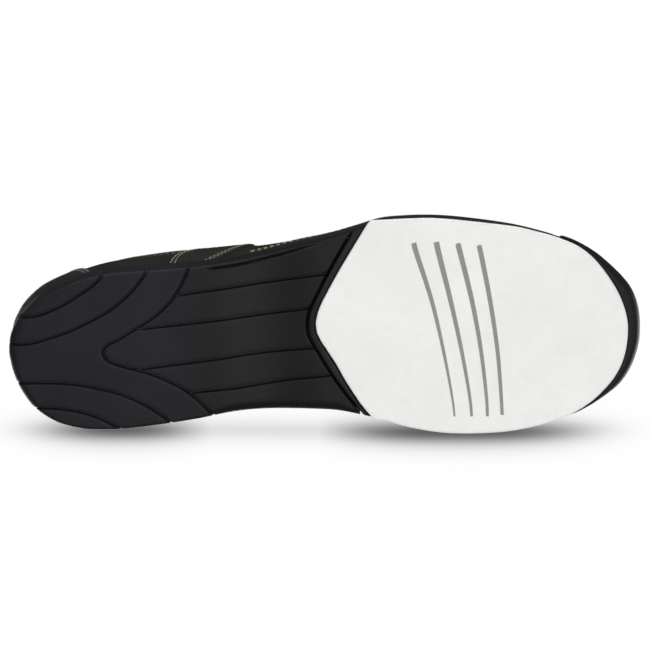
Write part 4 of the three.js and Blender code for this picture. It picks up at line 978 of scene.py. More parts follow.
def build_pad():
    loop, _ = cut_outline(PAD, PAD[:, 0] > pad_rear_x(PAD[:, 1]), cross_line(pad_rear_x, 0))
    inward = normals2(loop)
    points = [loop + inward * dist for dist in (0.12, 0.3, 0.55, 0.9, 1.4, 2.2, 3.2)]
    lines = [(catmull(line, False, 0.5), first, last) for line, first, last in BARS]
    for line, first, last in lines:
        width = lerp(first, last, np.linspace(0, 1, len(line))[:, None])
        normal = normals2(line, False)
        for k in (0, -0.5, 0.5, -0.8, 0.8):
            points.append(line + normal * (k * width + np.sign(k) * (0.25 if abs(k) > 0.6 else 0)))
    low, high = (144, -60), (296, 47)
    points.append(lattice(low, high, 1.5))
    flat, tris = fill(loop, np.vstack(points), near=0.08, cell=0.2)
    _, rim_dist = Near(close_loop(loop))(flat)
    x, y = flat[:, 0], flat[:, 1]
    soft = 0.10 * np.sin(x * 0.21 + 1.3) * np.sin(y * 0.17) * smooth(0, 6, rim_dist)
    z = underside(x) + 0.45 * lip(rim_dist, 0.55) + np.clip(soft, 0, 1)
    count = len(loop)
    top = underside(loop[:, 0]) + PAD_TOP
    # share of the height, and distance in from the outline
    rings = [np.c_[loop + inward * off, lerp(z[:count], top, share)]
             for share, off in ((0.35, -0.02), (0.7, 0.0), (0.95, 0.05), (1.0, 0.2))]
    flat2, tris2 = fill(loop, lattice(low, high, 6.0), near=1.0, cell=0.5)
    verts, faces = slab_parts(np.c_[flat, z], tris, rings,
                              np.c_[flat2, underside(flat2[:, 0]) + PAD_TOP], tris2)
    bar = np.full(len(verts), 9.0)
    bar[:len(flat)] = bar_distance(flat, lines)
    rim = np.zeros(len(verts))
    rim[:len(flat)] = rim_dist
    ob = make("slide_pad_skin", verts, faces, PAD_NAP, attrs={"bar": bar, "rim": rim}, sharp=60)
    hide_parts("slide_pad")
    return ob


BLENDED = [build_rear_rubber(), build_front_rubber(), build_pad()]     # baked in place below
RIDING = []             # (object, body it moves with)

# ------------------------------------------------------------------ surface of the upper
# Each side is a sheet. "along" runs 0..1 from heel to toe, "up" runs 0..1 from the feather line
# (on top of the sole's wall) to the crest: collar, then lace edge, then ridge of the vamp.
FEATHER = Sides(inset(SOLE, 4.4))
FEATHER_RISE = 0.9
# feather x; crest x, half width, centre y, z; arc in degrees; bulge medial, lateral
CREST = [
    (-1, 8.5, 0, 1.5, 77, 14, 2.4, 2.4),
    (8, 10.8, 8.15, 2.15, 76.4, 14, 2.8, 2.0),
    (20, 19.5, 17.7, 3.1, 74, 15, 3.0, 1.8),
    (40, 38, 26, 2.8, 69, 17, 3.0, 2.1),
    (62, 60, 30.5, 0.9, 65.5, 19, 3.0, 2.6),
    (85, 82, 31, -0.5, 68.5, 22, 3.0, 2.7),
    (105, 99, 28.5, -1.6, 78, 30, 2.6, 1.9),
    (120, 111, 24, -2, 88.5, 42, 2.0, 1.6),
    (135, 124, 20, -2, 86, 54, 1.6, 1.5),
    (150, 140, 17.5, -2, 77.5, 62, 1.6, 1.3),
    (165, 156, 15.5, -2, 70, 68, 1.8, 1.0),
    (180, 170, 11, -1.6, 64.2, 78, 2.0, 0.8),
    (192, 179.5, 0, -1, 61.2, 90, 2.0, 0.6),
    (215, 200, 0, 0, 55.5, 90, 2.4, 0.6),
    (240, 220, 0, 0.4, 50.8, 90, 2.4, 0.4),
    (262, 236, 0, 0, 47.2, 90, 2.0, 0.2),
    (280, 250, 0, -0.5, 43.8, 90, 1.6, 0.1),
    (291, 260, 0, -0.8, 41, 90, 1.0, 0.2),
    (400, 266, 0, -1, 39, 90, 0.4, 0.4),
]
THROAT_ROW = 12         # first row where the two sides meet


class Rail:
    """Feather line and crest curves of one side (-1 lateral, 1 medial)."""

    def __init__(self, side):
        self.line = FEATHER.medial if side > 0 else FEATHER.lateral
        self.dist = lengths(self.line)
        xs = self.line[:, 0]
        self.rising_x = np.maximum.accumulate(xs + np.arange(len(xs)) * 1e-7)
        shares = [float(self.share_at(row[0])) for row in CREST]
        self.throat = shares[THROAT_ROW]
        columns = list(zip(*CREST))
        self.x = monotone(shares, columns[1], 0)
        self.y = monotone(shares, [row[3] + side * row[2] for row in CREST])
        self.z = monotone(shares, columns[4], 0)
        self.arc = monotone(shares, columns[5])
        self.bulge = monotone(shares, columns[6 if side > 0 else 7])
        # crest x against share, for looking up the share
        self.shares = np.linspace(0, 1, 4001)
        self.crest_xs = np.maximum.accumulate(self.x(self.shares) + np.arange(4001) * 1e-9)

    def share_at(self, x):
        return np.interp(x, self.rising_x, self.dist) / self.dist[-1]

    def foot(self, along):
        at = np.clip(along, 0, 1) * self.dist[-1]
        return (np.interp(at, self.dist, self.line[:, 0]),
                np.interp(at, self.dist, self.line[:, 1]))


RAILS = {side: Rail(side) for side in (1, -1)}


def feather_share(side, x):
    return float(RAILS[side].share_at(x))


def crest_share(side, x):
    return np.interp(x, RAILS[side].crest_xs, RAILS[side].shares)


def sheet(side, along, up):
    rail = RAILS[side]
    along, up = np.broadcast_arrays(np.asarray(along, float), np.asarray(up, float))
    foot_x, foot_y = rail.foot(along)
    foot_z = wall_top(foot_x) + FEATHER_RISE
    crest_x, crest_y, crest_z = rail.x(along), rail.y(along), rail.z(along)
    arc = np.radians(rail.arc(along))
    turn = up * arc
    inward = (1 - np.cos(turn)) / (1 - np.cos(arc))
    rise = np.sin(turn) / np.sin(arc)
    # outward direction in plan, for the bulge
    step = 0.004
    back_x, back_y = rail.foot(along - step)
    ahead_x, ahead_y = rail.foot(along + step)
    out_x, out_y = ahead_y - back_y, -(ahead_x - back_x)
    size = np.hypot(out_x, out_y)
    out_x, out_y = out_x / size * -side, out_y / size * -side
    heel, toe = along <= step / 2, along >= 1 - step / 2
    out_x = np.where(heel, -1, np.where(toe, 1, out_x))
    out_y = np.where(heel | toe, 0, out_y)
    bulge = rail.bulge(along) * np.sin(np.pi * np.clip(up, 0, 1) ** 0.8)
    # forward of the throat the sheet leaves the ridge along its slope
    ahead, behind = np.minimum(1, along + 0.01), along - 0.01
    run = rail.x(ahead) - rail.x(behind)
    slope = (rail.z(ahead) - rail.z(behind)) / np.where(np.abs(run) < 1e-9, 1, run)
    slope = np.where(along > rail.throat, slope, 0)
    blend = smooth(rail.throat, rail.throat + 0.1, along)
    ridge = blend * slope * (crest_x - foot_x) * (inward - 1) * inward * inward
    return np.stack([lerp(foot_x, crest_x, inward) + out_x * bulge,
                     lerp(foot_y, crest_y, inward) + out_y * bulge,
                     lerp(foot_z, crest_z, rise) + ridge], -1)


def sheet_normal(side, along, up):
    e, f = 0.006, 0.012
    p = sheet(side, np.clip(along + e, 0, 1), up) - sheet(side, np.clip(along - e, 0, 1), up)
    q = sheet(side, along, np.clip(up + f, 0, 1)) - sheet(side, along, np.clip(up - f, 0, 1))
    normal = np.cross(p, q) * -side
    return normal / np.maximum(np.linalg.norm(normal, axis=-1, keepdims=True), 1e-9)


def surf(side, along, up):
    """Points and outward normals; where the sides meet, both give the same answer."""
    side, along, up = np.broadcast_arrays(side, along, up)
    shape = along.shape
    side, along, up = (np.array(a, float).ravel() for a in (side, along, up))
    side[(along >= 0.9999) | (along <= 0.0001)] = 1
    swap = (up >= 0.9999) & (side < 0) & (along >= RAILS[-1].throat)
    along[swap] = crest_share(1, RAILS[-1].x(along[swap]))
    side[swap] = 1
    points, normals = np.zeros((len(along), 3)), np.zeros((len(along), 3))
    near_toe = np.where((along > 0.99) & (up > 0.98), 0.985, along)
    for which in (1, -1):
        mask = side == which
        if not mask.any():
            continue
        points[mask] = sheet(which, along[mask], up[mask])
        normal = sheet_normal(which, near_toe[mask], np.clip(up[mask], 0, 1))
        share, height = near_toe[mask], up[mask]
        at_end = (share < 0.004) | (share > 0.996)
        seam = at_end | ((height > 0.985) & (share >= RAILS[which].throat - 1e-6))
        if seam.any():
            other = np.where(at_end, share, crest_share(-which, RAILS[which].x(share)))
            normal[seam] += sheet_normal(-which, other[seam], height[seam])
            normal[seam] /= np.linalg.norm(normal[seam], axis=1)[:, None]
        normals[mask] = normal
    return points.reshape(shape + (3,)), normals.reshape(shape + (3,))


def surf_off(side, along, up, off):
    point, normal = surf(side, float(along), float(up))
    return point + normal * off, normal


def joint(side, up):
    """Share along where the quarter meets the vamp."""
    return lerp(feather_share(side, 128), RAILS[side].throat, np.clip(up, 0, 1) ** 1.2)


# ------------------------------------------------------------------ panels and stitching
FINE_STEPS = (0, 0.12, 0.28, 0.5, 0.8, 1.15, 1.5, 1.8, 2.1, 2.4, 2.8, 3.4)   # mm from a cut edge
EYE_RING, EYE_DIP = 3.9, 0.28       # radius and depth of the dent round each eyelet


def cluster(count, length, first_free, last_free):
    """Shares 0..1 of a length, close together near the free ends."""
    fine = np.array(FINE_STEPS) / length
    fine = fine[fine < 0.45]
    first = fine if first_free else np.array([0.0])
    last = 1 - fine[::-1] if last_free else np.array([1.0])
    middle = np.linspace(first[-1], last[0], max(3, count) + 2)[1:-1]
    return np.r_[first, middle, last]


def corner_cut(radius, dist):
    if radius <= 0:
        return 0 * dist
    drop = radius * radius - (radius - np.minimum(dist, radius)) ** 2
    return np.where(dist < radius, radius - np.sqrt(np.clip(drop, 0, None)), 0)


class Patch:
    """A region of the upper. place(col, row) gives (side, along, up) for col, row in 0..1.

    wide and high are its rough size in mm. corner rounds the corners, in mm: low left, low
    right, top left, top right.
    """

    def __init__(self, place, wide, high, corner=(0, 0, 0, 0)):
        self.place, self.wide, self.high, self.corner = place, wide, high, corner

    def trim(self, col):
        """Shares lost to the rounded corners at the bottom and at the top."""
        low_left, low_right, top_left, top_right = self.corner
        left, right = col * self.wide, (1 - col) * self.wide
        low = np.maximum(corner_cut(low_left, left), corner_cut(low_right, right)) / self.high
        top = np.maximum(corner_cut(top_left, left), corner_cut(top_right, right)) / self.high
        return low, top

    def skin(self, node, mat, off, free, radius=0.55, puff=0.0, channels=(), pitch=1.5,
             holes=(), extra=None):
        """Closed thin shell between the two offsets off.

        free names the cut edges (left, right, bottom, top), rolled over with the radius; puff
        swells the middle; channels are distances from a cut edge where a stitch line sinks in.
        """
        cols = cluster(int(self.wide / pitch), self.wide, "l" in free, "r" in free)
        rows = cluster(int(self.high / pitch), self.high, "b" in free, "t" in free)
        col, row = np.meshgrid(cols, rows, indexing="ij")
        low, top = self.trim(col)
        row = low + row * (1 - low - top)
        points, normals = surf(*self.place(col, row))
        wide, high = col.shape
        dist = np.full(col.shape, 99.0)
        edges = {"l": points[0], "r": points[-1], "b": points[:, 0], "t": points[:, -1]}
        lines = [resample(line, 0.25) for key, line in edges.items() if key in free]
        if lines:
            dist = Near(np.vstack(lines))(points.reshape(-1, 3))[1].reshape(col.shape)
        height = off[1] - (off[1] - off[0]) * 0.85 * lip(dist, radius, 1)
        height = height + puff * smooth(2.2, 9, dist)
        for at in channels:
            depth, width = (0.16, 0.35) if at == QUARTER_SEAM else (0.15, 0.3)
            if at == STAY_SEAM:
                depth = 0.16
            height = height - depth * bell(dist - at, width)
        if extra is not None:
            height = height + extra(col, row, dist)
        for hole in holes:
            away = np.linalg.norm(points - hole, axis=-1)
            height = height - EYE_DIP * bell(away - EYE_RING, 1.1)
        outer = points + normals * height[..., None]
        inner = points + normals * off[0]
        faces = shell_faces(wide, high)
        i, j = wide // 2, high // 2
        facing = np.cross(outer[i, j] - outer[i - 1, j], outer[i, j] - outer[i, j - 1])
        if np.dot(facing, normals[i, j]) < 0:
            faces = flipped(faces)
        steps = np.linalg.norm(np.diff(points, axis=1), axis=2)
        v = np.cumsum(np.concatenate([np.zeros((wide, 1)), steps], 1), 1)
        u = np.repeat(lengths(points[:, j])[:, None], high, 1)
        uv = np.stack([u, v], -1).reshape(-1, 2)
        rim = np.clip(dist, 0, 20).ravel()
        ob = make(node + "_skin", np.vstack([outer.reshape(-1, 3), inner.reshape(-1, 3)]), faces,
                  mat, uv=np.vstack([uv, uv]), attrs={"rim": np.r_[rim, rim]}, weld=0.002,
                  sharp=60)
        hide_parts(node)
        return ob

    def row(self, edge, dist, lift, start, stop, count=160):
        """Thread line dist mm inside one edge, lifted off the surface: points and normals."""
        share = np.linspace(start, stop, count)
        low, top = self.trim(share)
        base = {"b": low, "t": 1 - top, "l": 0 * share, "r": 1 + 0 * share}[edge]
        step = 0.01 if edge in "bl" else -0.01

        def at(inward):
            return surf(*(self.place(share, inward) if edge in "bt"
                          else self.place(inward, share)))

        span = np.linalg.norm(at(base + step)[0] - at(base)[0], axis=-1) / abs(step)
        points, normals = at(base + np.sign(step) * dist / span)
        return points + normals * lift, normals


# distances of stitch lines from the cut edges
QUARTER_SEAM, STAY_SEAM = 2.3, 1.9
DOUBLE_SEAM = (2.0, 4.0)
TOE_SEAM = (2.0, 4.1)

# one stitch: rings of a capsule (place along a unit length, share of the radius), then its tips
CAP_SIDES = 6
CAP_RINGS = ((-0.42, 0.75), (-0.22, 1.0), (0.22, 1.0), (0.42, 0.75))
CAP = np.array([(x, r * math.cos(2 * np.pi * j / CAP_SIDES), r * math.sin(2 * np.pi * j / CAP_SIDES))
                for x, r in CAP_RINGS for j in range(CAP_SIDES)] + [(-0.5, 0, 0), (0.5, 0, 0)])
CAP_QUADS, CAP_TRIS = [], []
for j in range(CAP_SIDES):
    j2 = (j + 1) % CAP_SIDES
    CAP_TRIS += [(4 * CAP_SIDES, j2, j), (4 * CAP_SIDES + 1, 3 * CAP_SIDES + j, 3 * CAP_SIDES + j2)]
for k in range(0, 3 * CAP_SIDES, CAP_SIDES):
    for j in range(CAP_SIDES):
        j2 = (j + 1) % CAP_SIDES
        CAP_QUADS.append((k + j, k + j2, k + CAP_SIDES + j2, k + CAP_SIDES + j))


def unit_rows(vectors):
    return vectors / np.linalg.norm(vectors, axis=1)[:, None]


def stitches(name, rows, length=2.4, gap=0.75, radius=0.29):
    """One object of thread; rows are (points, normals) of the lines it follows."""
    verts, quads, tris, base = [], [], [], 0
    sink = 0.05
    rng = np.random.default_rng(7)
    for points, normals in rows:
        points, normals = np.asarray(points, float), np.asarray(normals, float)
        dist = lengths(points)
        count = int(dist[-1] // (length + gap))
        if count < 1:
            continue
        pitch = dist[-1] / count
        centre = (np.arange(count) + 0.5) * pitch
        half = pitch * (length / (length + gap)) / 2

        def at(where, values):
            return np.stack([np.interp(where, dist, values[:, k]) for k in range(3)], 1)

        chord = at(centre + half, points) - at(centre - half, points)
        size = np.linalg.norm(chord, axis=1)
        chord = chord / size[:, None]
        normal = at(centre, normals)
        normal = unit_rows(normal - chord * np.sum(normal * chord, 1)[:, None])
        across = np.cross(normal, chord)
        turned = unit_rows(chord + across * rng.uniform(-0.06, 0.06, count)[:, None])
        arch = 0.10 * (1 - (2 * CAP[:, 0]) ** 2)
        capsules = (at(centre, points)[:, None]
                    + turned[:, None] * (CAP[None, :, 0:1] * size[:, None, None])
                    + across[:, None] * (CAP[None, :, 1:2] * radius * 1.12)
                    + normal[:, None] * (CAP[None, :, 2:3] * radius - sink + arch[None, :, None]))
        verts.append(capsules.reshape(-1, 3))
        start = base + np.arange(count)[:, None, None] * len(CAP)
        quads.append((np.array(CAP_QUADS)[None] + start).reshape(-1, 4))
        # the tips of all stitches follow the quads
        tris.append((np.array(CAP_TRIS)[None] + start).reshape(-1, 3))
        base += count * len(CAP)
    return make(name, np.vstack(verts), [np.vstack(quads), np.vstack(tris)], THREAD)


# ------------------------------------------------------------------ outer panels
TUCK = -0.065           # how far below the feather line the panels reach
EYELET_X = [163, 154.3, 145.6, 136.9, 128.2, 119.5]
# surface point and normal of each eyelet
EYELETS = {side: [surf(side, float(crest_share(side, x)), 0.87) for x in EYELET_X]
           for side in (-1, 1)}


def build_quarter(side, word):
    def place(col, row):
        up = lerp(TUCK, 1.0, row)
        return side, lerp(0.0004, joint(side, up) - 0.0008, col), up

    patch = Patch(place, 165, 78)
    skin = patch.skin("quarter_" + word, LEATHER, (0.05, 1.25), free="rt", radius=0.6, puff=0.15,
                      channels=(QUARTER_SEAM,), pitch=1.7)
    rows = [patch.row("r", QUARTER_SEAM, lift=1.25, start=0.12, stop=0.97)]
    return [skin, stitches("quarter_" + word + "_thread", rows)]


def build_saddle(side, word):
    """Strip over the quarter, from the sole up to the laces' height."""
    low_back, low_front, top_back, top_front = (feather_share(side, x) for x in (75, 96, 92, 122))
    top_up = 0.69

    def place(col, row):
        up = lerp(TUCK + 0.02, top_up, row)
        k = np.clip(up, 0, 1) / 0.66
        bow = 0.012 * np.sin(np.pi * np.clip(up / top_up, 0, 1))
        back = lerp(low_back, top_back, k) - bow
        return side, lerp(back, lerp(low_front, top_front, k) + bow * 0.4, col), up

    patch = Patch(place, 26, 52, corner=(0, 0, 5.0, 6.0))
    skin = patch.skin("saddle_" + word, OVERLAY, (1.27, 2.7), free="lrt", radius=0.7, puff=0.25,
                      channels=DOUBLE_SEAM, pitch=1.4)
    rows = []
    for dist in DOUBLE_SEAM:
        rows += [patch.row("l", dist, 2.58, 0.10, 0.94), patch.row("r", dist, 2.58, 0.10, 0.93),
                 patch.row("t", dist, 2.58, 0.16 + dist * 0.02, 0.84 - dist * 0.02)]
    return [skin, stitches("saddle_" + word + "_thread", rows)]


def build_eyestay(side, word):
    start, stop = feather_share(side, 107), RAILS[side].throat - 0.006

    def place(col, row):
        up = lerp(lerp(0.70, 0.795, smooth(0, 1, col)), 1.0, row)
        return side, lerp(lerp(start, start + 0.01, up), stop, col), up

    patch = Patch(place, 84, 17, corner=(5.0, 7.0, 1.5, 5.0))
    skin = patch.skin("eyestay_" + word, OVERLAY, (1.27, 2.85), free="lrbt", radius=0.75,
                      puff=0.1, channels=(STAY_SEAM,), pitch=1.2,
                      holes=[point for point, _ in EYELETS[side]])
    rows = [patch.row(edge, STAY_SEAM, 2.72, first, last) for edge, first, last in (
        ("b", 0.05, 0.93), ("t", 0.03, 0.93), ("l", 0.24, 0.86), ("r", 0.5, 0.62))]
    return [skin, stitches("eyestay_" + word + "_thread", rows)]


for side, word in WORDS:
    quarter = build_quarter(side, word)
    saddle = build_saddle(side, word)
    BLENDED += quarter + build_eyestay(side, word)
    RIDING += [(ob, "rearfoot") for ob in saddle]


def hood(shift, low_up):
    """Placement over the forefoot, from one feather line over the ridge to the other."""
    def place(col, row):
        across = np.round(2 * row - 1, 9)
        side = np.where(across < 0, -1.0, 1.0)
        up = lerp(1.0, low_up, np.abs(across))
        start = np.where(side < 0, joint(-1, up), joint(1, up)) + shift
        eased = lerp(col, np.sin(col * np.pi / 2), 0.5)
        return side, np.where(col > 0.99999, 1.0, lerp(start, 1.0, eased)), up
    return place


def band(centre, ends, low_up, high_up):
    """Placement round the heel or toe (centre 0 or 1); ends(side, up) is its share at a side.

    low_up and high_up give its edges by place across, -1 lateral to 1 medial.
    """
    def place(col, row):
        across = np.round(2 * col - 1, 9)
        side = np.where(across < 0, -1.0, 1.0)
        up = lerp(low_up(across), high_up(across), row)
        end = np.where(side < 0, ends(-1, up), ends(1, up))
        return side, lerp(centre, end, np.abs(across)), up
    return place


# vamp, sunk where the quarters lap over it
BLENDED.append(Patch(hood(-0.022, TUCK), 150, 170).skin(
    "vamp", MESH, (-0.75, 1.05), free="", pitch=1.7,
    extra=lambda col, row, dist: -1.15 * (1 - smooth(0.045, 0.085, col))))
BLENDED.append(Patch(hood(0.004, 0.0), 130, 160).skin(
    "vamp_lining", LINING, (-4.9, -3.6), free="l", pitch=2.6))

# toe overlay: from beside the eyestays round the toe, reaching the sole only past the bumper
OVERLAY_START = {side: feather_share(side, 107) for side in (-1, 1)}
BUMPER_START = {side: feather_share(side, 262) for side in (-1, 1)}
BUMPER_SHARE = {side: (1 - BUMPER_START[side]) / (1 - OVERLAY_START[side]) for side in (-1, 1)}


def overlay_low(across):
    k = np.abs(across) / np.where(across < 0, BUMPER_SHARE[-1], BUMPER_SHARE[1])
    return np.where(k < 0.93, 0.345 - 0.165 * k * k,
                    lerp(0.202, TUCK + 0.02, smooth(0.93, 0.985, k)))


def overlay_high(across):
    k = np.abs(across)
    return np.where(k < 0.3, 0.82 - 0.25 * smooth(0, 0.3, k),
                    lerp(0.57, 0.15, smooth(0.3, 1.0, k)))


def build_toe_overlay():
    place = band(1.0, lambda side, up: OVERLAY_START[side], overlay_low, overlay_high)
    patch = Patch(place, 430, 26)
    skin = patch.skin("toe_overlay", OVERLAY, (1.08, 2.35), free="lrbt", radius=0.75, puff=0.2,
                      channels=TOE_SEAM, pitch=1.5)
    rows = [patch.row("t", dist, 2.24, 0.02, 0.98, count=900) for dist in TOE_SEAM]
    rows.append(patch.row("b", 4.6, 2.28, 0.5 - BUMPER_SHARE[-1] * 0.5 * 0.9,
                          0.5 + BUMPER_SHARE[1] * 0.5 * 0.9, count=400))
    return [skin, stitches("toe_overlay_thread", rows)]


def build_bumper():
    """Ribbed rubber round the toe."""
    place = band(1.0, lambda side, up: BUMPER_START[side], lambda across: TUCK + 0.01,
                 lambda across: 0.375 - 0.165 * across * across)
    return Patch(place, 95, 22, corner=(0, 0, 5, 5)).skin(
        "toe_bumper", BUMPER, (1.08, 3.3), free="lrt", radius=1.6, pitch=1.2,
        extra=lambda col, row, dist: (0.16 * np.sin(row * 2 * np.pi * 6)
                                      * smooth(2.2, 4.5, dist)))


def build_heel_overlay():
    reach = {side: feather_share(side, 42) for side in (-1, 1)}
    place = band(0.0, lambda side, up: reach[side] * (1 - 0.35 * np.clip(up, 0, 1)),
                 lambda across: TUCK + 0.02, lambda across: 0.66 - 0.10 * across * across)
    patch = Patch(place, 88, 46, corner=(0, 0, 9, 9))
    skin = patch.skin("heel_overlay", OVERLAY, (1.27, 2.75), free="lrt", radius=0.75, puff=0.3,
                      channels=DOUBLE_SEAM, pitch=1.4)
    rows = []
    for dist in DOUBLE_SEAM:
        rows += [patch.row(edge, dist, 2.62, 0.10, 0.86) for edge in "lr"]
        rows.append(patch.row("t", dist, 2.62, 0.06 + 0.012 * dist, 0.94 - 0.012 * dist,
                              count=300))
    return [skin, stitches("heel_overlay_thread", rows)]


BLENDED += build_toe_overlay()
RIDING.append((build_bumper(), "forefoot"))
RIDING += [(ob, "rearfoot") for ob in build_heel_overlay()]
BLENDED.append(Patch(
    band(0.0, lambda side, up: joint(side, up) - 0.001, lambda across: 0.0, lambda across: 0.66),
    300, 45).skin("quarter_lining", LINING, (-4.4, -3.0), free="", pitch=2.6))


# ------------------------------------------------------------------ laces
def sweep(name, points, normals, half_wide, half_thick, mat, step=0.8, sides=14, closed=False,
          power=2.6):
    """Flat braid or strap along a path; power squares off its rounded section."""
    points, normals = np.asarray(points, float), np.asarray(normals, float)
    half_wide, half_thick = (np.broadcast_to(np.asarray(a, float), len(points))
                             for a in (half_wide, half_thick))
    pack = catmull(np.c_[points, normals * 8, half_wide, half_thick], closed, step)
    points, normals, half_wide, half_thick = pack[:, :3], pack[:, 3:6], pack[:, 6], pack[:, 7]
    if closed:
        tangent = np.roll(points, -1, 0) - np.roll(points, 1, 0)
    else:
        tangent = np.gradient(points, axis=0)
    tangent = unit_rows(tangent)
    normals = normals - tangent * np.sum(normals * tangent, 1)[:, None]
    normals = normals / np.maximum(np.linalg.norm(normals, axis=1), 1e-6)[:, None]
    across = np.cross(normals, tangent)
    angle = np.linspace(0, 2 * np.pi, sides, endpoint=False)
    ca, sa = (np.sign(w) * np.abs(w) ** (2 / power) for w in (np.cos(angle), np.sin(angle)))
    rings = (points[:, None] + across[:, None] * (ca[None, :, None] * half_wide[:, None, None])
             + normals[:, None] * (sa[None, :, None] * half_thick[:, None, None]))
    around = np.r_[0, np.cumsum(np.hypot(np.diff(np.r_[ca, ca[:1]]) * half_wide.mean(),
                                         np.diff(np.r_[sa, sa[:1]]) * half_thick.mean()))]
    tips = None if closed else [points[e] + tangent[e] * out * half_thick[e]
                                for e, out in ((0, -0.25), (-1, 0.25))]
    verts, uv, faces = tube_parts(rings, lengths(points), around, tips)
    return make(name, verts, faces, mat, uv=uv, weld=0.0008, sharp=70)


MID_Y = -1.6            # centre line of the tongue and the knot
tongue_z = table([(187, 51.6), (179, 55), (170, 59.6), (160, 65.6), (150, 71.8), (140, 78),
                  (130, 84), (121, 89.4), (112, 95.4), (104, 105), (100.5, 112)])
KNOT_X = 117.5
KNOT = np.array([KNOT_X, MID_Y, float(tongue_z(KNOT_X)) + 4.5])
LACE_WIDE, LACE_THICK = 2.25, 0.72      # half sizes


def tongue_slope(x):
    return tongue_z(x + 0.5) - tongue_z(x - 0.5)


class Path:
    def __init__(self):
        self.points, self.normals, self.widths = [], [], []

    def add(self, point, normal, width=1.0):
        self.points.append(np.asarray(point, float))
        self.normals.append(np.asarray(normal, float))
        self.widths.append(width)

    def add_over_tongue(self, x, aside, lift):
        slope = float(tongue_slope(x))
        size = math.hypot(1, slope)
        self.add([x, MID_Y + aside, float(tongue_z(x)) - 0.019 * aside ** 2 + lift],
                 [-slope / size, 0, 1 / size])


def lace_strand(side, high):
    """Zigzag up the eyelets from the lowest one, starting on one side; high passes on top."""
    path = Path()

    def through(which, i, off, width):
        point, normal = EYELETS[which][i]
        path.add(point + normal * off, (0.6, 0, 0.8) if abs(off) < 4 else normal, width)

    def over_edge(which, x, off, width=1.0):
        path.add(*surf_off(which, crest_share(which, x), 1.0, off), width)

    for i, x in enumerate(EYELET_X):
        for off, width in ((-2.7, 0.5), (-1.2, 0.5), (4.3, 0.55), (5.6, 0.8)):
            through(side, i, off, width)
        if i == len(EYELET_X) - 1:
            break
        x1 = EYELET_X[i + 1]
        over_edge(side, lerp(x, x1, 0.22), 4.9)
        lift = 4.7 if high else 2.0
        path.add_over_tongue(lerp(x, x1, 0.5), side * 5, lift)
        path.add_over_tongue(lerp(x, x1, 0.56), 0, lift)
        path.add_over_tongue(lerp(x, x1, 0.64), -side * 5, 4.0 if high else 2.0)
        over_edge(-side, lerp(x, x1, 0.82), -2.1, 0.8)
        through(-side, i + 1, -2.9, 0.55)
        side = -side
    over_edge(side, 118.5, 5.2)
    path.add(KNOT + (1.2, side * 12.5, -3.4), (-0.3, side * 0.3, 0.9), 0.9)
    path.add(KNOT + (0.6, side * 5.2, -1.8), (-0.3, 0, 0.95), 0.75)
    return path


def build_lace():
    first, second, bar = lace_strand(1, True), lace_strand(-1, False), Path()
    x = EYELET_X[0]
    bar.add_over_tongue(x, 7, 1.9)
    bar.add_over_tongue(x - 0.2, 0, 1.8)
    bar.add_over_tongue(x, -7, 1.9)
    widths = np.array(first.widths[::-1] + bar.widths + second.widths)
    lace = sweep("lace_run", first.points[::-1] + bar.points + second.points,
                 first.normals[::-1] + bar.normals + second.normals,
                 LACE_WIDE * widths, LACE_THICK * (1 + 0.75 * (1 - widths)), BRAID, step=0.9)
    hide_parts("lace")
    return lace


def build_knot():
    """A wrap round two crossing turns."""
    angles = np.linspace(0, 2 * np.pi, 15)[:-1]
    wide, high = 3.1, 2.75
    wrap = [KNOT + (wide * math.cos(a), 0.9 * math.sin(a), high * math.sin(a) + 0.2)
            for a in angles]
    normals = [(math.cos(a) * high, 0, math.sin(a) * wide) for a in angles]
    parts = [sweep("knot_wrap", wrap, normals, 2.1, 0.75, BRAID, step=0.7, closed=True)]
    for sign, letter in ((1, "a"), (-1, "b")):
        turn = [KNOT + offset for offset in (
            (0.4 * sign, -5.4, -1.6 + 0.5 * sign), (0.9 * sign, -3.2, -0.3 + 0.9 * sign),
            (0.2 * sign, 0, 0.8 * sign), (-0.9 * sign, 3.2, -0.3 + 0.9 * sign),
            (-0.4 * sign, 5.4, -1.6 + 0.5 * sign))]
        parts.append(sweep("knot_turn_" + letter, turn, [(0.2, 0, 1)] * 5,
                           [1.5, 1.9, 1.6, 1.9, 1.5], 0.85, BRAID, step=0.6))
    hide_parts("lace_knot")
    return parts


def build_bow_loop(side, word):
    path = Path()
    count = 22
    for i in range(count + 1):
        q = i / count
        reach = math.sin(math.pi * q) ** 0.85 if 0 < q < 1 else 0.0
        x = KNOT[0] + 0.3 - (1.7 * math.cos(math.pi * q) + 6.5 * math.sin(2 * math.pi * q))
        by_knot = np.array([x, MID_Y + side * 6.9, KNOT[2] + 1.0])
        down = min(max((reach - 0.18) / 0.82, 0), 1)
        on_shoe, normal = surf_off(side, crest_share(side, x + 14 * reach),
                                   lerp(0.98, 0.945, down), lerp(6.9, 7.8, down))
        blend = float(smooth(0, 0.34, reach))
        point = by_knot * (1 - blend) + on_shoe * blend
        point[2] += 1.6 * math.sin(math.pi * blend)
        if i in (0, count):
            path.add(KNOT + (1.2 if i else -1.2, side * 3.0, 0.8), (0, 0, 1), 0.75)
        twist = np.array([(0.9 if q < 0.5 else -0.9) * math.sin(math.pi * q), 0, 0])
        path.add(point, np.array([0, side * 0.35, 1.0]) * (1 - blend) + (normal + twist) * blend,
                 0.9 if 0.1 < q < 0.9 else 0.8)
    ob = sweep("bow_loop_" + word + "_braid", path.points, path.normals,
               LACE_WIDE * np.array(path.widths), LACE_THICK, BRAID, step=0.9)
    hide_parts("bow_loop_" + word)
    return ob


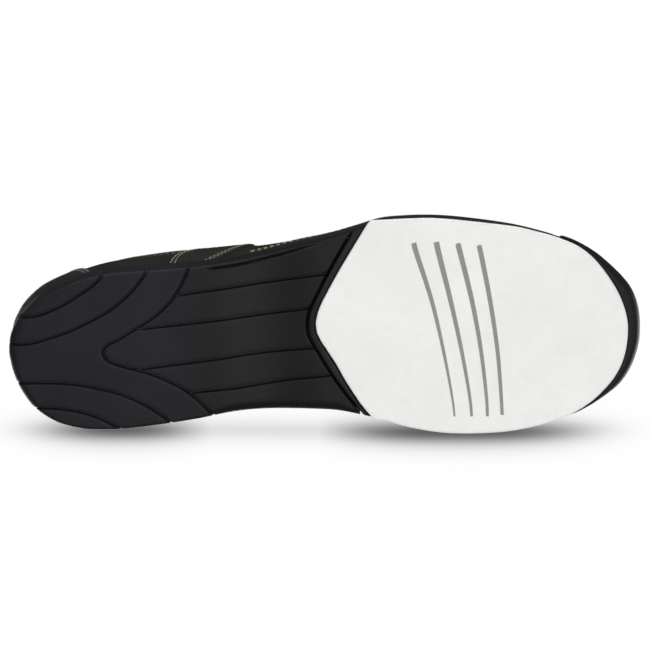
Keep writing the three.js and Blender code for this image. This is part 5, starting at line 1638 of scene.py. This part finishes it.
def build_lace_end(side, word):
    """Free end lying on the eyestay, and its aglet."""
    start_x = KNOT_X + 14
    points = [KNOT + (2.6, side * 1.6, 1.2), KNOT + (5.4, side * 3.2, 1.7),
              KNOT + (8.5, side * 7, 1.0)]
    normals = [(0.2, 0, 1), (0.3, 0, 1), (0.3, side * 0.2, 1)]
    # share up, lift off the surface, distance forward
    for up, lift, ahead in ((0.99, 9.0, 6), (0.955, 8.6, 9), (0.915, 8.3, 12), (0.875, 8.0, 15),
                            (0.84, 7.9, 18), (0.81, 7.9, 21)):
        point, normal = surf_off(side, crest_share(side, start_x + ahead), up, lift)
        points.append(point)
        normals.append(normal)
    target, _ = surf_off(side, crest_share(side, start_x + 37), 0.70, 7.2)
    ahead = (target - points[-1]) / np.linalg.norm(target - points[-1])
    points.append(points[-1] + ahead * 1.0)
    normals.append(normals[-1])
    full = [1.0] * (len(points) - 4)
    end = sweep("lace_end_" + word + "_braid", points, normals,
                LACE_WIDE * np.array([0.75] + full + [0.95, 0.75, 0.55]),
                LACE_THICK * np.array([1.0] + full + [1.05, 1.2, 1.35]), BRAID, step=0.8)
    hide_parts("lace_end_" + word)
    # aglet: distance along, half width, half thickness
    dists, wides, thicks = zip((-0.6, 1.15, 1.0), (0.2, 1.28, 1.13), (0.5, 1.3, 1.15),
                               (8, 1.22, 1.1), (15.0, 1.12, 1.0), (15.6, 0.9, 0.8),
                               (15.9, 0.4, 0.35))
    aglet = sweep("aglet_" + word + "_tip", [points[-1] + ahead * dist for dist in dists],
                  [normals[-1]] * 7, wides, thicks, AGLET, step=0.4, power=2.0, sides=18)
    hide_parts("aglet_" + word)
    return end, aglet


RIDING.append((build_lace(), "rearfoot"))
RIDING += [(ob, "rearfoot") for ob in build_knot()]
HELD = []               # (object, body at its far end, where the blend starts, where it ends)
for side, word in WORDS:
    loop_ob = build_bow_loop(side, word)
    HELD.append((loop_ob, "bow_" + word, KNOT + (0, side * 3.4, 1.0), KNOT + (0, side * 8.6, 1.0)))
    end_ob, aglet_ob = build_lace_end(side, word)
    HELD.append((end_ob, "free_end_" + word, KNOT + (5.5, side * 1.2, 1.6),
                 KNOT + (5.5, side * 4.6, 1.6)))
    RIDING.append((aglet_ob, "free_end_" + word))

# eyelet section: radius, height above the surface
EYELET_PROFILE = np.array([
    (2.0, -1.2), (2.0, 2.6), (2.12, 3.25), (2.45, 3.68), (2.95, 3.85), (3.5, 3.74), (3.9, 3.42),
    (4.05, 3.1), (4.0, 2.78), (3.6, 2.68), (2.6, 2.6), (2.6, -1.2)])


def build_eyelet(node, point, normal):
    sides = 40
    angle = np.linspace(0, 2 * np.pi, sides, endpoint=False)
    level = np.cross(normal, (0, 0, 1.0))
    level /= np.linalg.norm(level)
    spoke = (level[None] * np.cos(angle)[:, None]
             + np.cross(normal, level)[None] * np.sin(angle)[:, None])
    verts = (point + spoke[:, None] * EYELET_PROFILE[None, :, 0:1]
             + normal * EYELET_PROFILE[None, :, 1:2]).reshape(-1, 3)
    idx = np.arange(len(verts)).reshape(sides, -1)
    ahead = np.roll(idx, -1, 0)
    faces = np.stack([idx, ahead, np.roll(ahead, -1, 1), np.roll(idx, -1, 1)], -1).reshape(-1, 4)
    ob = make(node + "_ring", verts, [faces], ENAMEL, sharp=50)
    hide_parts(node)
    return ob


for side, word in WORDS:
    for i, (point, normal) in enumerate(EYELETS[side]):
        RIDING.append((build_eyelet("eyelet_%s_%d" % (word, i + 1), point, normal), "rearfoot"))


# ------------------------------------------------------------------ tongue
def tongue_point(x, aside, lift):
    """Point at x along the tongue's line, aside from its centre and lifted off it."""
    x, aside, lift = np.broadcast_arrays(np.asarray(x, float), aside, lift)
    slope = tongue_slope(x)
    size = np.hypot(1, slope)
    curve = lerp(0.0215, 0.0225, np.clip((187 - x) / 60, 0, 1))
    off = -curve * aside * aside + lift
    return np.stack([x - slope / size * off, MID_Y + aside, tongue_z(x) + off / size], -1)


def tongue_shell(name, xs, half_width, top, thick, mat, rows=60):
    """Padded panel: half_width by share along; top and thick by share along and -1..1 across."""
    q = np.linspace(-1, 1, rows)
    q = np.sign(q) * (1 - (1 - np.abs(q)) ** 1.5)
    share = np.linspace(0, 1, len(xs))
    along, across = np.meshgrid(share, q, indexing="ij")
    x = np.repeat(np.asarray(xs)[:, None], rows, 1)
    width = np.repeat(half_width(share)[:, None], rows, 1)
    aside = across * width
    lift = top(along, across)
    upper = tongue_point(x, aside, lift)
    lower = tongue_point(x, aside, lift - thick(along, across))
    faces = shell_faces(len(xs), rows)
    i, j = len(xs) // 2, rows // 2
    if np.cross(upper[i + 1, j] - upper[i, j], upper[i, j + 1] - upper[i, j])[2] < 0:
        faces = flipped(faces)
    dist = lengths(upper[:, j])
    uv = np.stack([np.repeat(dist[:, None], rows, 1), aside], -1).reshape(-1, 2)
    rim = np.minimum((1 - np.abs(across)) * width, np.minimum(dist, dist[-1] - dist)[:, None])
    rim = np.clip(rim, 0, 20).ravel()
    return make(name, np.vstack([upper.reshape(-1, 3), lower.reshape(-1, 3)]), faces, mat,
                uv=np.vstack([uv, uv]), attrs={"rim": np.r_[rim, rim]}, weld=0.002, sharp=70)


def round_edge(along, across, length, width, radius, height):
    dist = np.minimum((1 - np.abs(across)) * width, (1 - along) * length)
    return height * lip(dist, radius, 1)


TONGUE_X = np.r_[np.linspace(187, 113, 64), np.linspace(112.4, 101.2, 22)]
TONGUE_SIZE = (110.0, 24)       # rough length and half width


def tongue_width(share):
    return np.interp(share, [0, 0.5, 0.78, 0.9, 0.965, 0.99, 1.0],
                     [17, 22, 25.5, 26.2, 25.0, 22.8, 19.5])


def tongue_padding(along, across):
    crease = 1 - 0.25 * bell(along - 0.865, 0.006)
    return (2.1 * smooth(0.70, 0.86, along) * (1 - smooth(0.955, 1.0, along))
            * (1 - np.abs(across) ** 6) * crease)


def tongue_top(along, across):
    return (tongue_padding(along, across) - round_edge(along, across, *TONGUE_SIZE, 2.2, 1.6)
            + 0.12 * np.sin(along * 60) * smooth(0.7, 0.9, along) * np.cos(across * 5))


def tongue_thick(along, across):
    return (3.6 + 2.6 * smooth(0.72, 0.9, along)
            - 2.3 * round_edge(along, across, *TONGUE_SIZE, 2.2, 1.0)
            + tongue_padding(along, across))


def build_tongue_body():
    body = tongue_shell("tongue_body", TONGUE_X, tongue_width, tongue_top, tongue_thick, MESH)
    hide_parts("tongue", "tongue_top")
    return body


def facing_width(share):
    return np.interp(share, [0, 0.06, 0.16, 0.8, 0.93, 1.0], [13.5, 15.6, 17.0, 18.2, 17.4, 15.0])


def facing_top(along, across):
    seam = 0.35 * bell((1 - np.abs(across)) * 17 - 2.0, 0.35)
    return (2.25 + 0.9 * (1 - np.abs(across) ** 4)
            - round_edge(along, across, 22, 17, 0.9, 0.8) - seam)


def build_facing():
    """Leather sewn over the tongue's top, and its thread."""
    xs = np.linspace(121.5, 102.6, 30)
    face = tongue_shell("tongue_facing", xs, facing_width, facing_top,
                        lambda along, across: 1.9 + 0 * along, FACING, rows=50)
    at = np.linspace(0, 1, 30)
    rows = []
    for across in (-0.885, 0.885):
        share = np.linspace(0.12, 0.9, 60)
        lift = 2.25 + 0.9 * (1 - abs(across) ** 4) - 0.28
        line = tongue_point(np.interp(share, at, xs), across * facing_width(share), lift)
        rows.append((line, np.repeat([[0.55, 0.15 * np.sign(across), 0.8]], 60, 0)))
    for share, reach in ((0.12, 14.6), (0.90, 15.6)):
        aside = np.linspace(-reach, reach, 60)
        lift = 2.25 + 0.9 * (1 - np.abs(aside / 17.5) ** 4) - 0.05
        line = tongue_point(np.full(60, float(np.interp(share, at, xs))), aside, lift)
        rows.append((line, np.repeat([[0.55, 0, 0.8]], 60, 0)))
    return [face, stitches("tongue_facing_thread", rows)]


def build_binding():
    """Tape up one edge of the tongue, across its top and down the other."""
    share = np.linspace(0.02, 1, 90)
    x = np.interp(share, np.linspace(0, 1, len(TONGUE_X)), TONGUE_X)
    aside = tongue_width(share) * 0.995
    drop = -2.1 - 1.3 * smooth(0.72, 0.9, share)
    across = np.linspace(-0.96, 0.96, 40) * tongue_width(1.0)
    line = np.vstack([tongue_point(x, -aside, drop),
                      tongue_point(np.full(40, float(TONGUE_X[-1])), across, -3.2),
                      tongue_point(x[::-1], aside[::-1], drop[::-1])])
    keep = np.r_[True, np.linalg.norm(np.diff(line, axis=0), axis=1) > 0.4]
    line = line[keep][::3]
    return sweep("tongue_binding", line, np.tile((0.45, 0, 0.89), (len(line), 1)), 1.25, 2.1,
                 WEBBING, step=1.4, sides=16)


TONGUE = [build_tongue_body(), *build_facing(), build_binding()]


# ------------------------------------------------------------------ padded collar
def cloth_swell(ob, pin, cap, pressure, frames):
    """Swells padded fabric with a short cloth simulation.

    pin is 0..1 per vertex, cap the travel allowed in mm.
    """
    me = ob.data
    count = len(me.vertices)
    before = np.empty(count * 3)
    me.vertices.foreach_get("co", before)
    before = before.reshape(-1, 3)
    group = ob.vertex_groups.new(name="sewn")
    levels = np.round(np.clip(pin, 0, 1) * 10).astype(int)
    for level in range(1, 11):
        who = np.flatnonzero(levels == level)
        if len(who):
            group.add([int(i) for i in who], level / 10, "REPLACE")
    modifier = ob.modifiers.new("cloth", "CLOTH")
    cloth = modifier.settings
    cloth.quality = 5
    cloth.mass = 0.05
    cloth.air_damping = 2.0
    cloth.tension_stiffness = cloth.compression_stiffness = 8.0
    cloth.shear_stiffness = 3.0
    cloth.bending_stiffness = 0.3
    cloth.vertex_group_mass = "sewn"
    cloth.pin_stiffness = 1.0
    cloth.use_pressure = True
    cloth.uniform_pressure_force = pressure
    cloth.shrink_min = cloth.shrink_max = -0.06     # the cover is cut larger than the foam
    cloth.effector_weights.gravity = 0.0
    modifier.collision_settings.use_collision = False
    modifier.collision_settings.use_self_collision = False
    modifier.point_cache.frame_start = 1
    modifier.point_cache.frame_end = frames + 1
    scene = bpy.context.scene
    for frame in range(1, frames + 1):
        scene.frame_set(frame)
    evaluated = ob.evaluated_get(bpy.context.evaluated_depsgraph_get())
    after = np.empty(count * 3)
    evaluated.data.vertices.foreach_get("co", after)
    after = after.reshape(-1, 3)
    ob.modifiers.remove(modifier)
    ob.vertex_groups.remove(group)
    scene.frame_set(1)
    move = (after - before) * 1000.0
    dist = np.linalg.norm(move, axis=1)
    dist = np.where(np.isfinite(dist), dist, 0)
    move = np.where(np.isfinite(move), move, 0)
    scale = np.where(dist > 1e-9, cap * np.tanh(dist / cap) / np.maximum(dist, 1e-9), 0)
    me.vertices.foreach_set("co", (before + move * scale[:, None] * 0.001).ravel())
    me.update()


def collar_point(side, along, rise, out):
    """rise mm above the collar edge along the sheet (negative below), out mm off its surface."""
    side, along, rise, out = np.broadcast_arrays(np.asarray(side, float), along, rise, out)
    top, _ = surf(side, along, np.ones(along.shape))
    below, _ = surf(side, along, np.full(along.shape, 0.96))
    upward = top - below
    height = np.linalg.norm(upward, axis=-1) / 0.04
    upward = upward / np.linalg.norm(upward, axis=-1, keepdims=True)
    points, normals = surf(side, along, 1 + np.minimum(rise, 0) / height)
    return points + upward * np.maximum(rise, 0)[..., None] + normals * out[..., None]


# collar section: rise above the edge, distance outwards
COLLAR_SECTION = [
    (-6.5, 1.2), (-6.3, 1.9), (-5.2, 2.45), (-3.4, 2.75), (-1.2, 2.8), (0.8, 2.3), (2.2, 1.1),
    (2.9, -0.7), (2.9, -2.8), (2.1, -4.8), (0.5, -6.4), (-2.0, -7.4), (-5.0, -7.9), (-9.0, -8.1),
    (-13, -7.9), (-17, -7.4), (-21, -6.6), (-25, -5.7), (-28, -5.0), (-29.5, -4.4), (-29.5, -3.3),
    (-24, -2.2), (-17, -1.2), (-9, -0.6), (-6.6, 0.2)]
COLLAR_END = {side: feather_share(side, 106) for side in (-1, 1)}
QUILT_LINES = (-8.5, -19.5)
LOOP_BASE_M = np.array([-0.0217, -0.0025, 0.079])      # metres, CAD frame


def collar_shares(across):
    """Side and share along for places -1..1 round the collar."""
    side = np.where(across < 0, -1.0, 1.0)
    return side, np.where(across < 0, COLLAR_END[-1], COLLAR_END[1]) * np.abs(across)


def build_collar():
    section = catmull(COLLAR_SECTION, True, 0.8)
    count = 150
    across = np.linspace(-1, 1, count)
    side, share = collar_shares(across)
    fat = (1 - 0.42 * smooth(0.78, 1, np.abs(across)))[:, None]     # thinner at the front ends
    along = lengths(np.c_[RAILS[1].x(share), RAILS[1].y(share) * side])
    rise, out = (np.tile(column, (count, 1)) for column in section.T)
    at = along[:, None]
    roll = smooth(0.5, -3, out)
    wrinkle = (0.22 * np.sin(at * 0.55 + 1.1 * np.sin(at * 0.21)) * roll
               * smooth(-27, -18, rise))
    quilt = sum(depth * bell(rise - line, 0.9) * roll
                for depth, line in zip((0.9, 0.8), QUILT_LINES))
    rings = collar_point(side[:, None], share[:, None],
                         np.where(rise > 0, rise * (0.75 + 0.25 * fat), rise),
                         np.where(out < 0, out * fat, out) + wrinkle + quilt)
    around = lengths(np.vstack([section, section[:1]]))
    verts, uv, faces = tube_parts(rings, along, around, [rings[0].mean(0), rings[-1].mean(0)])
    # the end caps turn the other way from the tube
    faces[1:] = [cap[:, [0, 2, 1]] for cap in faces[1:]]
    i = count // 4
    facing = np.cross(rings[i + 1, 5] - rings[i, 5], rings[i, 6] - rings[i, 5])
    if np.dot(facing, rings[i, 5] - rings[i].mean(0)) < 0:
        faces = flipped(faces)
    sewn = np.maximum.reduce(
        [smooth(-1.2, 0.8, out)]
        + [bell(rise - line, 1.3) * 1.05 for line in QUILT_LINES]
        + [smooth(-25, -28, rise), smooth(-2.6, -1.4, np.where(rise < -6, out, -9)),
           smooth(0.955, 0.985, np.abs(across))[:, None] + 0 * rise])
    sewn = np.r_[np.concatenate([sewn, sewn[:, :1]], 1).ravel(), 1.0, 1.0]
    collar = make("collar_padding_soft", verts, faces, LINING, uv=uv, attrs={"sewn": sewn},
                  weld=0.002, sharp=75)
    verts_left = len(collar.data.vertices)
    pin = np.empty(verts_left)
    collar.data.attributes["sewn"].data.foreach_get("value", pin)
    # the heel loop is sewn through here, so the cover can't rise
    place = np.empty(verts_left * 3)
    collar.data.vertices.foreach_get("co", place)
    from_loop = np.linalg.norm(place.reshape(-1, 3) - LOOP_BASE_M, axis=1) * 1000.0
    cloth_swell(collar, np.maximum(pin, np.clip((26.0 - from_loop) / 8.0, 0, 1)), cap=1.3,
                pressure=160.0, frames=18)
    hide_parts("collar_padding")
    return collar


def build_topline_thread():
    """Stitching just below the collar's roll."""
    side, share = collar_shares(np.linspace(-0.985, 0.985, 500))
    points = collar_point(side, share, np.full(500, -8.4), np.full(500, 1.32))
    _, normals = surf(side, share, np.full(500, 0.9))
    return stitches("topline_thread", [(points, normals)], length=2.1, gap=0.8, radius=0.26)


def build_pull_loop():
    """Loop of webbing standing at the back of the heel."""
    base = np.array([6.2, 1.5, 78.2])
    # x and z from the base, then the strap's normal in x and z
    stations = [
        (1.6, -3.0, 1, 0), (1.75, 0.5, 1, 0), (1.85, 5, 1, 0.05), (1.75, 10, 0.95, 0.35),
        (1.1, 12.9, 0.7, 0.7), (0, 13.8, 0, 1), (-1.1, 12.9, -0.7, 0.7), (-1.75, 10, -0.95, 0.35),
        (-1.85, 5, -1, 0.05), (-1.75, 0.5, -1, 0), (-1.6, -3.0, -1, 0)]
    loop = sweep("pull_loop_webbing", [base + (s[0], 0, s[1]) for s in stations],
                 [(s[2], 0, s[3]) for s in stations], 6.2, 0.62, WEBBING, step=0.7, power=5.0,
                 sides=20)
    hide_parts("pull_loop")
    return loop


RIDING.append((build_collar(), "rearfoot"))
RIDING.append((build_topline_thread(), "rearfoot"))
RIDING.append((build_pull_loop(), "heel_tab"))


# ------------------------------------------------------------------ inside the cup
def flat_slab(name, node, margin, bottom, top, mat, crown=0.0, radius=0.8):
    """Slab filling the sole's outline less a margin; bottom and top are heights by x."""
    cols, rows = 150, 44
    sides = Sides(inset(SOLE, margin))
    xs = lerp(sides.x0 + 0.25, sides.x1 - 0.25, (1 - np.cos(np.linspace(0, 1, cols) * np.pi)) / 2)
    q = np.linspace(-1, 1, rows)
    q = np.sign(q) * (1 - (1 - np.abs(q)) ** 1.6)
    x, across = np.meshgrid(xs, q, indexing="ij")
    low, high = sides.low(x), sides.high(x)
    half = (high - low) / 2
    y = (low + high) / 2 + across * (high - low) / 2
    dist = np.minimum((1 - np.abs(across)) * half, np.minimum(x - xs[0], xs[-1] - x) + 0.01)
    top_z = top(x) - radius * 0.8 * lip(dist, radius, 1) + crown * np.abs(across) ** 3
    upper, lower = np.stack([x, y, top_z], -1), np.stack([x, y, bottom(x)], -1)
    uv = np.stack([x, y], -1).reshape(-1, 2)
    ob = make(name, np.vstack([upper.reshape(-1, 3), lower.reshape(-1, 3)]),
              shell_faces(cols, rows), mat, uv=np.vstack([uv, uv]), weld=0.002, sharp=50)
    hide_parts(node)
    return ob


BLENDED.append(flat_slab(
    "insole_sock", "insole", 4.0, lambda x: wall_top(x) - 3.9,
    lambda x: wall_top(x) - 0.7 + 0.8 * smooth(40, 0, x), SOCK, crown=1.6, radius=1.2))
BLENDED.append(flat_slab(
    "lasting_board_fibre", "lasting_board", 3.8, lambda x: wall_top(x) - 5.7,
    lambda x: wall_top(x) - 4.2, BOARD, radius=0.3))
BLENDED.append(flat_slab(
    "midsole_foam", "midsole", 3.7, lambda x: underside(x) + 6.9,
    lambda x: wall_top(x) - 6.0 - 2.4 * smooth(50, 58, x) * smooth(158, 150, x), FOAM,
    radius=0.5))

# hidden CAD pieces keep their shape and take a new finish; a piece that is missing is skipped
for node, mat in (("shank_plate", STEEL), ("heel_counter", STIFFENER), ("toe_puff", STIFFENER)):
    ob = bpy.data.objects.get(node)
    if ob:
        ob.data.materials.clear()
        ob.data.materials.append(mat)

# ------------------------------------------------------------------ which body each piece follows
# FOLD is the line across the tongue's top; the tongue, the bow loops and the free ends are baked in
# place
FOLD = [[x, MID_Y, float(tongue_z(x))] for x in (114.5, 107.0)]
for ob, body, start, end in [(ob, "tongue_tip", *FOLD) for ob in TONGUE] + HELD:
    start, end = (tuple(float(c) for c in to_m(point)[0]) for point in (start, end))
    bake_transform(ob)

# the blended pieces are baked in place, and the rest are parented to the body they move with
for ob in BLENDED:
    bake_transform(ob)
for ob, body in RIDING:
    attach(ob, body)

# ------------------------------------------------------------------ stage, in metres
WHITE = (1, 1, 1, 1)


def build_world():
    """White to the camera, dimmer as light; reflections are brighter low down than high up."""
    world = bpy.data.worlds.new("studio")
    bpy.context.scene.world = world
    world.use_nodes = True
    g = Graph(world.node_tree)
    g.tree.nodes.clear()
    rays = g.node("LightPath").outputs
    # incoming points back along the ray: negative means looking up
    incoming_z = g.split(g.value("NewGeometry", output="Incoming"))[2]
    reflected = {1: -0.95, 2: -0.45, 3: 0.035, 4: 0.12}     # from min, from max, to min, to max
    strength = g.value("MapRange", {0: incoming_z, **reflected})
    seen, lit, mirrored = (g.value("Background", {0: WHITE, 1: level})
                           for level in (1.0, 0.45, strength))
    indirect = g.mix_shader(Value(g, rays["Is Glossy Ray"]), lit, mirrored)
    g.node("OutputWorld", {0: g.mix_shader(Value(g, rays["Is Camera Ray"]), indirect, seen)})


build_world()

# the camera looks up at the sole, toe to the right, tilted about x and rolled in its own plane
TILT, ROLL = math.radians(11), math.radians(1.50)
LEVEL_RIGHT, LEVEL_UP = Vector((1, 0, 0)), Vector((0, -math.cos(TILT), math.sin(TILT)))
BACK = Vector((0, -math.sin(TILT), -math.cos(TILT)))
RIGHT = LEVEL_RIGHT * math.cos(ROLL) - LEVEL_UP * math.sin(ROLL)
UP = LEVEL_UP * math.cos(ROLL) + LEVEL_RIGHT * math.sin(ROLL)
CENTRE = Vector(((LENGTH / 2 - ORIGIN_X) * 0.001, (-9.0 - ORIGIN_Y) * 0.001, 0))
CAMERA_DIST = 2.4
VIEW_WIDTH = 0.3076             # width seen at the centre
SENSOR = 36.0                   # mm


def add_object(name, data):
    ob = bpy.data.objects.new(name, data)
    bpy.context.scene.collection.objects.link(ob)
    return ob


camera_data = bpy.data.cameras.new("camera")
camera_data.lens = SENSOR * CAMERA_DIST / VIEW_WIDTH
camera_data.clip_start, camera_data.clip_end = 0.05, 20
camera = add_object("camera", camera_data)
camera.matrix_world = (Matrix.Translation(CENTRE + BACK * CAMERA_DIST)
                       @ Matrix((RIGHT, UP, BACK)).transposed().to_4x4())
bpy.context.scene.camera = camera

LIGHT_TARGET = Vector((0.12, 0, 0.03))
# name, place, size, second size, power in watts
LIGHTS = [
    ("key_side", (-0.1, -1.0, -0.22), 0.9, 0.35, 4.2),
    ("fill_sole", (0.5, -0.1, -1.1), 0.9, 0.9, 6.9),
    ("top_soft", (0.05, 0.5, 1.1), 0.9, 0.9, 12.0),
    ("rim_back", (-0.75, 0.75, 0.75), 0.7, 0.7, 8.0),
    ("front_soft", (0.95, 0.35, 0.5), 0.6, 0.6, 6.0),
    ("side_soft", (0.45, -1.15, 0.30), 0.8, 0.5, 3.0),
]
for name, place, size, size_y, power in LIGHTS:
    light = bpy.data.lights.new(name, "AREA")
    light.shape = "RECTANGLE"
    light.size = size
    light.size_y = size_y
    light.energy = power
    ob = add_object(name, light)
    ob.location = place
    ob.rotation_mode = "QUATERNION"
    ob.rotation_quaternion = (Vector(place) - LIGHT_TARGET).to_track_quat("Z", "Y")


class StageMaterial(Graph):
    """Material seen only by camera rays."""

    def __init__(self, name):
        self.mat = bpy.data.materials.new(name)
        self.mat.use_nodes = True
        super().__init__(self.mat.node_tree)
        self.tree.nodes.clear()
        self.place = self.value("NewGeometry", output="Position")
        self.incoming_z = self.split(self.value("NewGeometry", output="Incoming"))[2]

    def bell(self, value, centre, width, power=2.0):
        """exp(-|(value - centre) / width| ** power)"""
        away = self.math("ABSOLUTE", (value - centre) / width)
        return self.math("EXPONENT", away ** power * -1.0)

    def show(self, shader, seen):
        """Shows the shader where seen is 1 and is clear elsewhere."""
        camera_ray = self.value("LightPath", output="Is Camera Ray")
        clear = self.value("BsdfTransparent")
        self.node("OutputMaterial", {0: self.mix_shader(seen * camera_ray, clear, shader)})
        return self.mat


def stage_sheet(name, corners, mat):
    me = bpy.data.meshes.new(name)
    me.from_pydata(corners, [], [(0, 1, 2, 3)])
    ob = add_object(name, me)
    ob.visible_shadow = False
    ob.visible_diffuse = False
    ob.visible_glossy = False
    me.materials.append(mat)


def floor_material():
    """Lit near the shoe, fading to plain white; seen from above only."""
    m = StageMaterial("floor_under_mat")
    centre_x, half_x, half_y = 0.122, 0.36, 0.26        # ellipse where the white is reached
    x, y, _ = m.split(m.place)
    far_x, far_y = (x - centre_x) / half_x, y / half_y
    away = m.math("SQRT", far_x * far_x + far_y * far_y)
    fade = m.value("MapRange", {0: away, 1: 0.55, 2: 1.0, 3: 0.0, 4: 1.0},
                   interpolation_type="SMOOTHSTEP")
    lit = m.value("BsdfDiffuse", {0: (0.98, 0.98, 0.98, 1)})
    white = m.value("Emission", {0: WHITE, 1: 1.0})
    return m.show(m.mix_shader(fade, lit, white), m.math("GREATER_THAN", m.incoming_z, 0.0))


BACKDROP_GAP = 0.22             # beyond the centre of view
BACKDROP = CENTRE - BACK * BACKDROP_GAP


def backdrop_material():
    """White with a soft shadow along the shoe's lower edge in the view; seen from below only."""
    m = StageMaterial("backdrop_mat")
    rel = m.value("VectorMath", {0: m.place, 1: tuple(BACKDROP)}, operation="SUBTRACT")

    def view_mm(axis):
        """Millimetres along a view axis, scaled back to the plane through the centre."""
        dot = m.value("VectorMath", {0: rel, 1: tuple(axis)}, output="Value",
                      operation="DOT_PRODUCT")
        return dot * (1000.0 * CAMERA_DIST / (CAMERA_DIST + BACKDROP_GAP))

    across, up = view_mm(RIGHT), view_mm(UP)
    # darkness along the shoe: a patch by the heel, one by the forefoot, a faint one throughout
    heel = m.bell(across, centre=-97.0, width=36.0, power=2.4) * 0.95
    fore = m.bell(across, centre=64.0, width=58.0, power=3.2)
    dark = m.math("MAXIMUM", heel, fore)
    dark = m.math("MAXIMUM", dark, m.bell(across, centre=-4.0, width=128.0, power=8.0) * 0.20)
    line = -49.6 + m.bell(across, centre=62.0, width=60.0) * -1.2
    core, wide = m.bell(up, line, width=4.6), m.bell(up, line, width=8.5)
    brightness = (1.0 - dark * (core * 0.44 + wide * 0.22)) ** 2.0
    return m.show(m.value("Emission", {0: WHITE, 1: brightness}),
                  m.math("LESS_THAN", m.incoming_z, -0.6))


HALF_SHEET = 3.0
FLOOR_Z = -0.0004
SHEET_CORNERS = ((-1, -1), (1, -1), (1, 1), (-1, 1))
stage_sheet("floor_under", [(a * HALF_SHEET, b * HALF_SHEET, FLOOR_Z) for a, b in SHEET_CORNERS],
            floor_material())
stage_sheet("backdrop", [tuple(BACKDROP + RIGHT * a * HALF_SHEET + UP * b * HALF_SHEET)
                         for a, b in SHEET_CORNERS], backdrop_material())

view = bpy.context.scene.view_settings
view.view_transform = "Standard"
view.look = "None"
view.exposure = 0.0
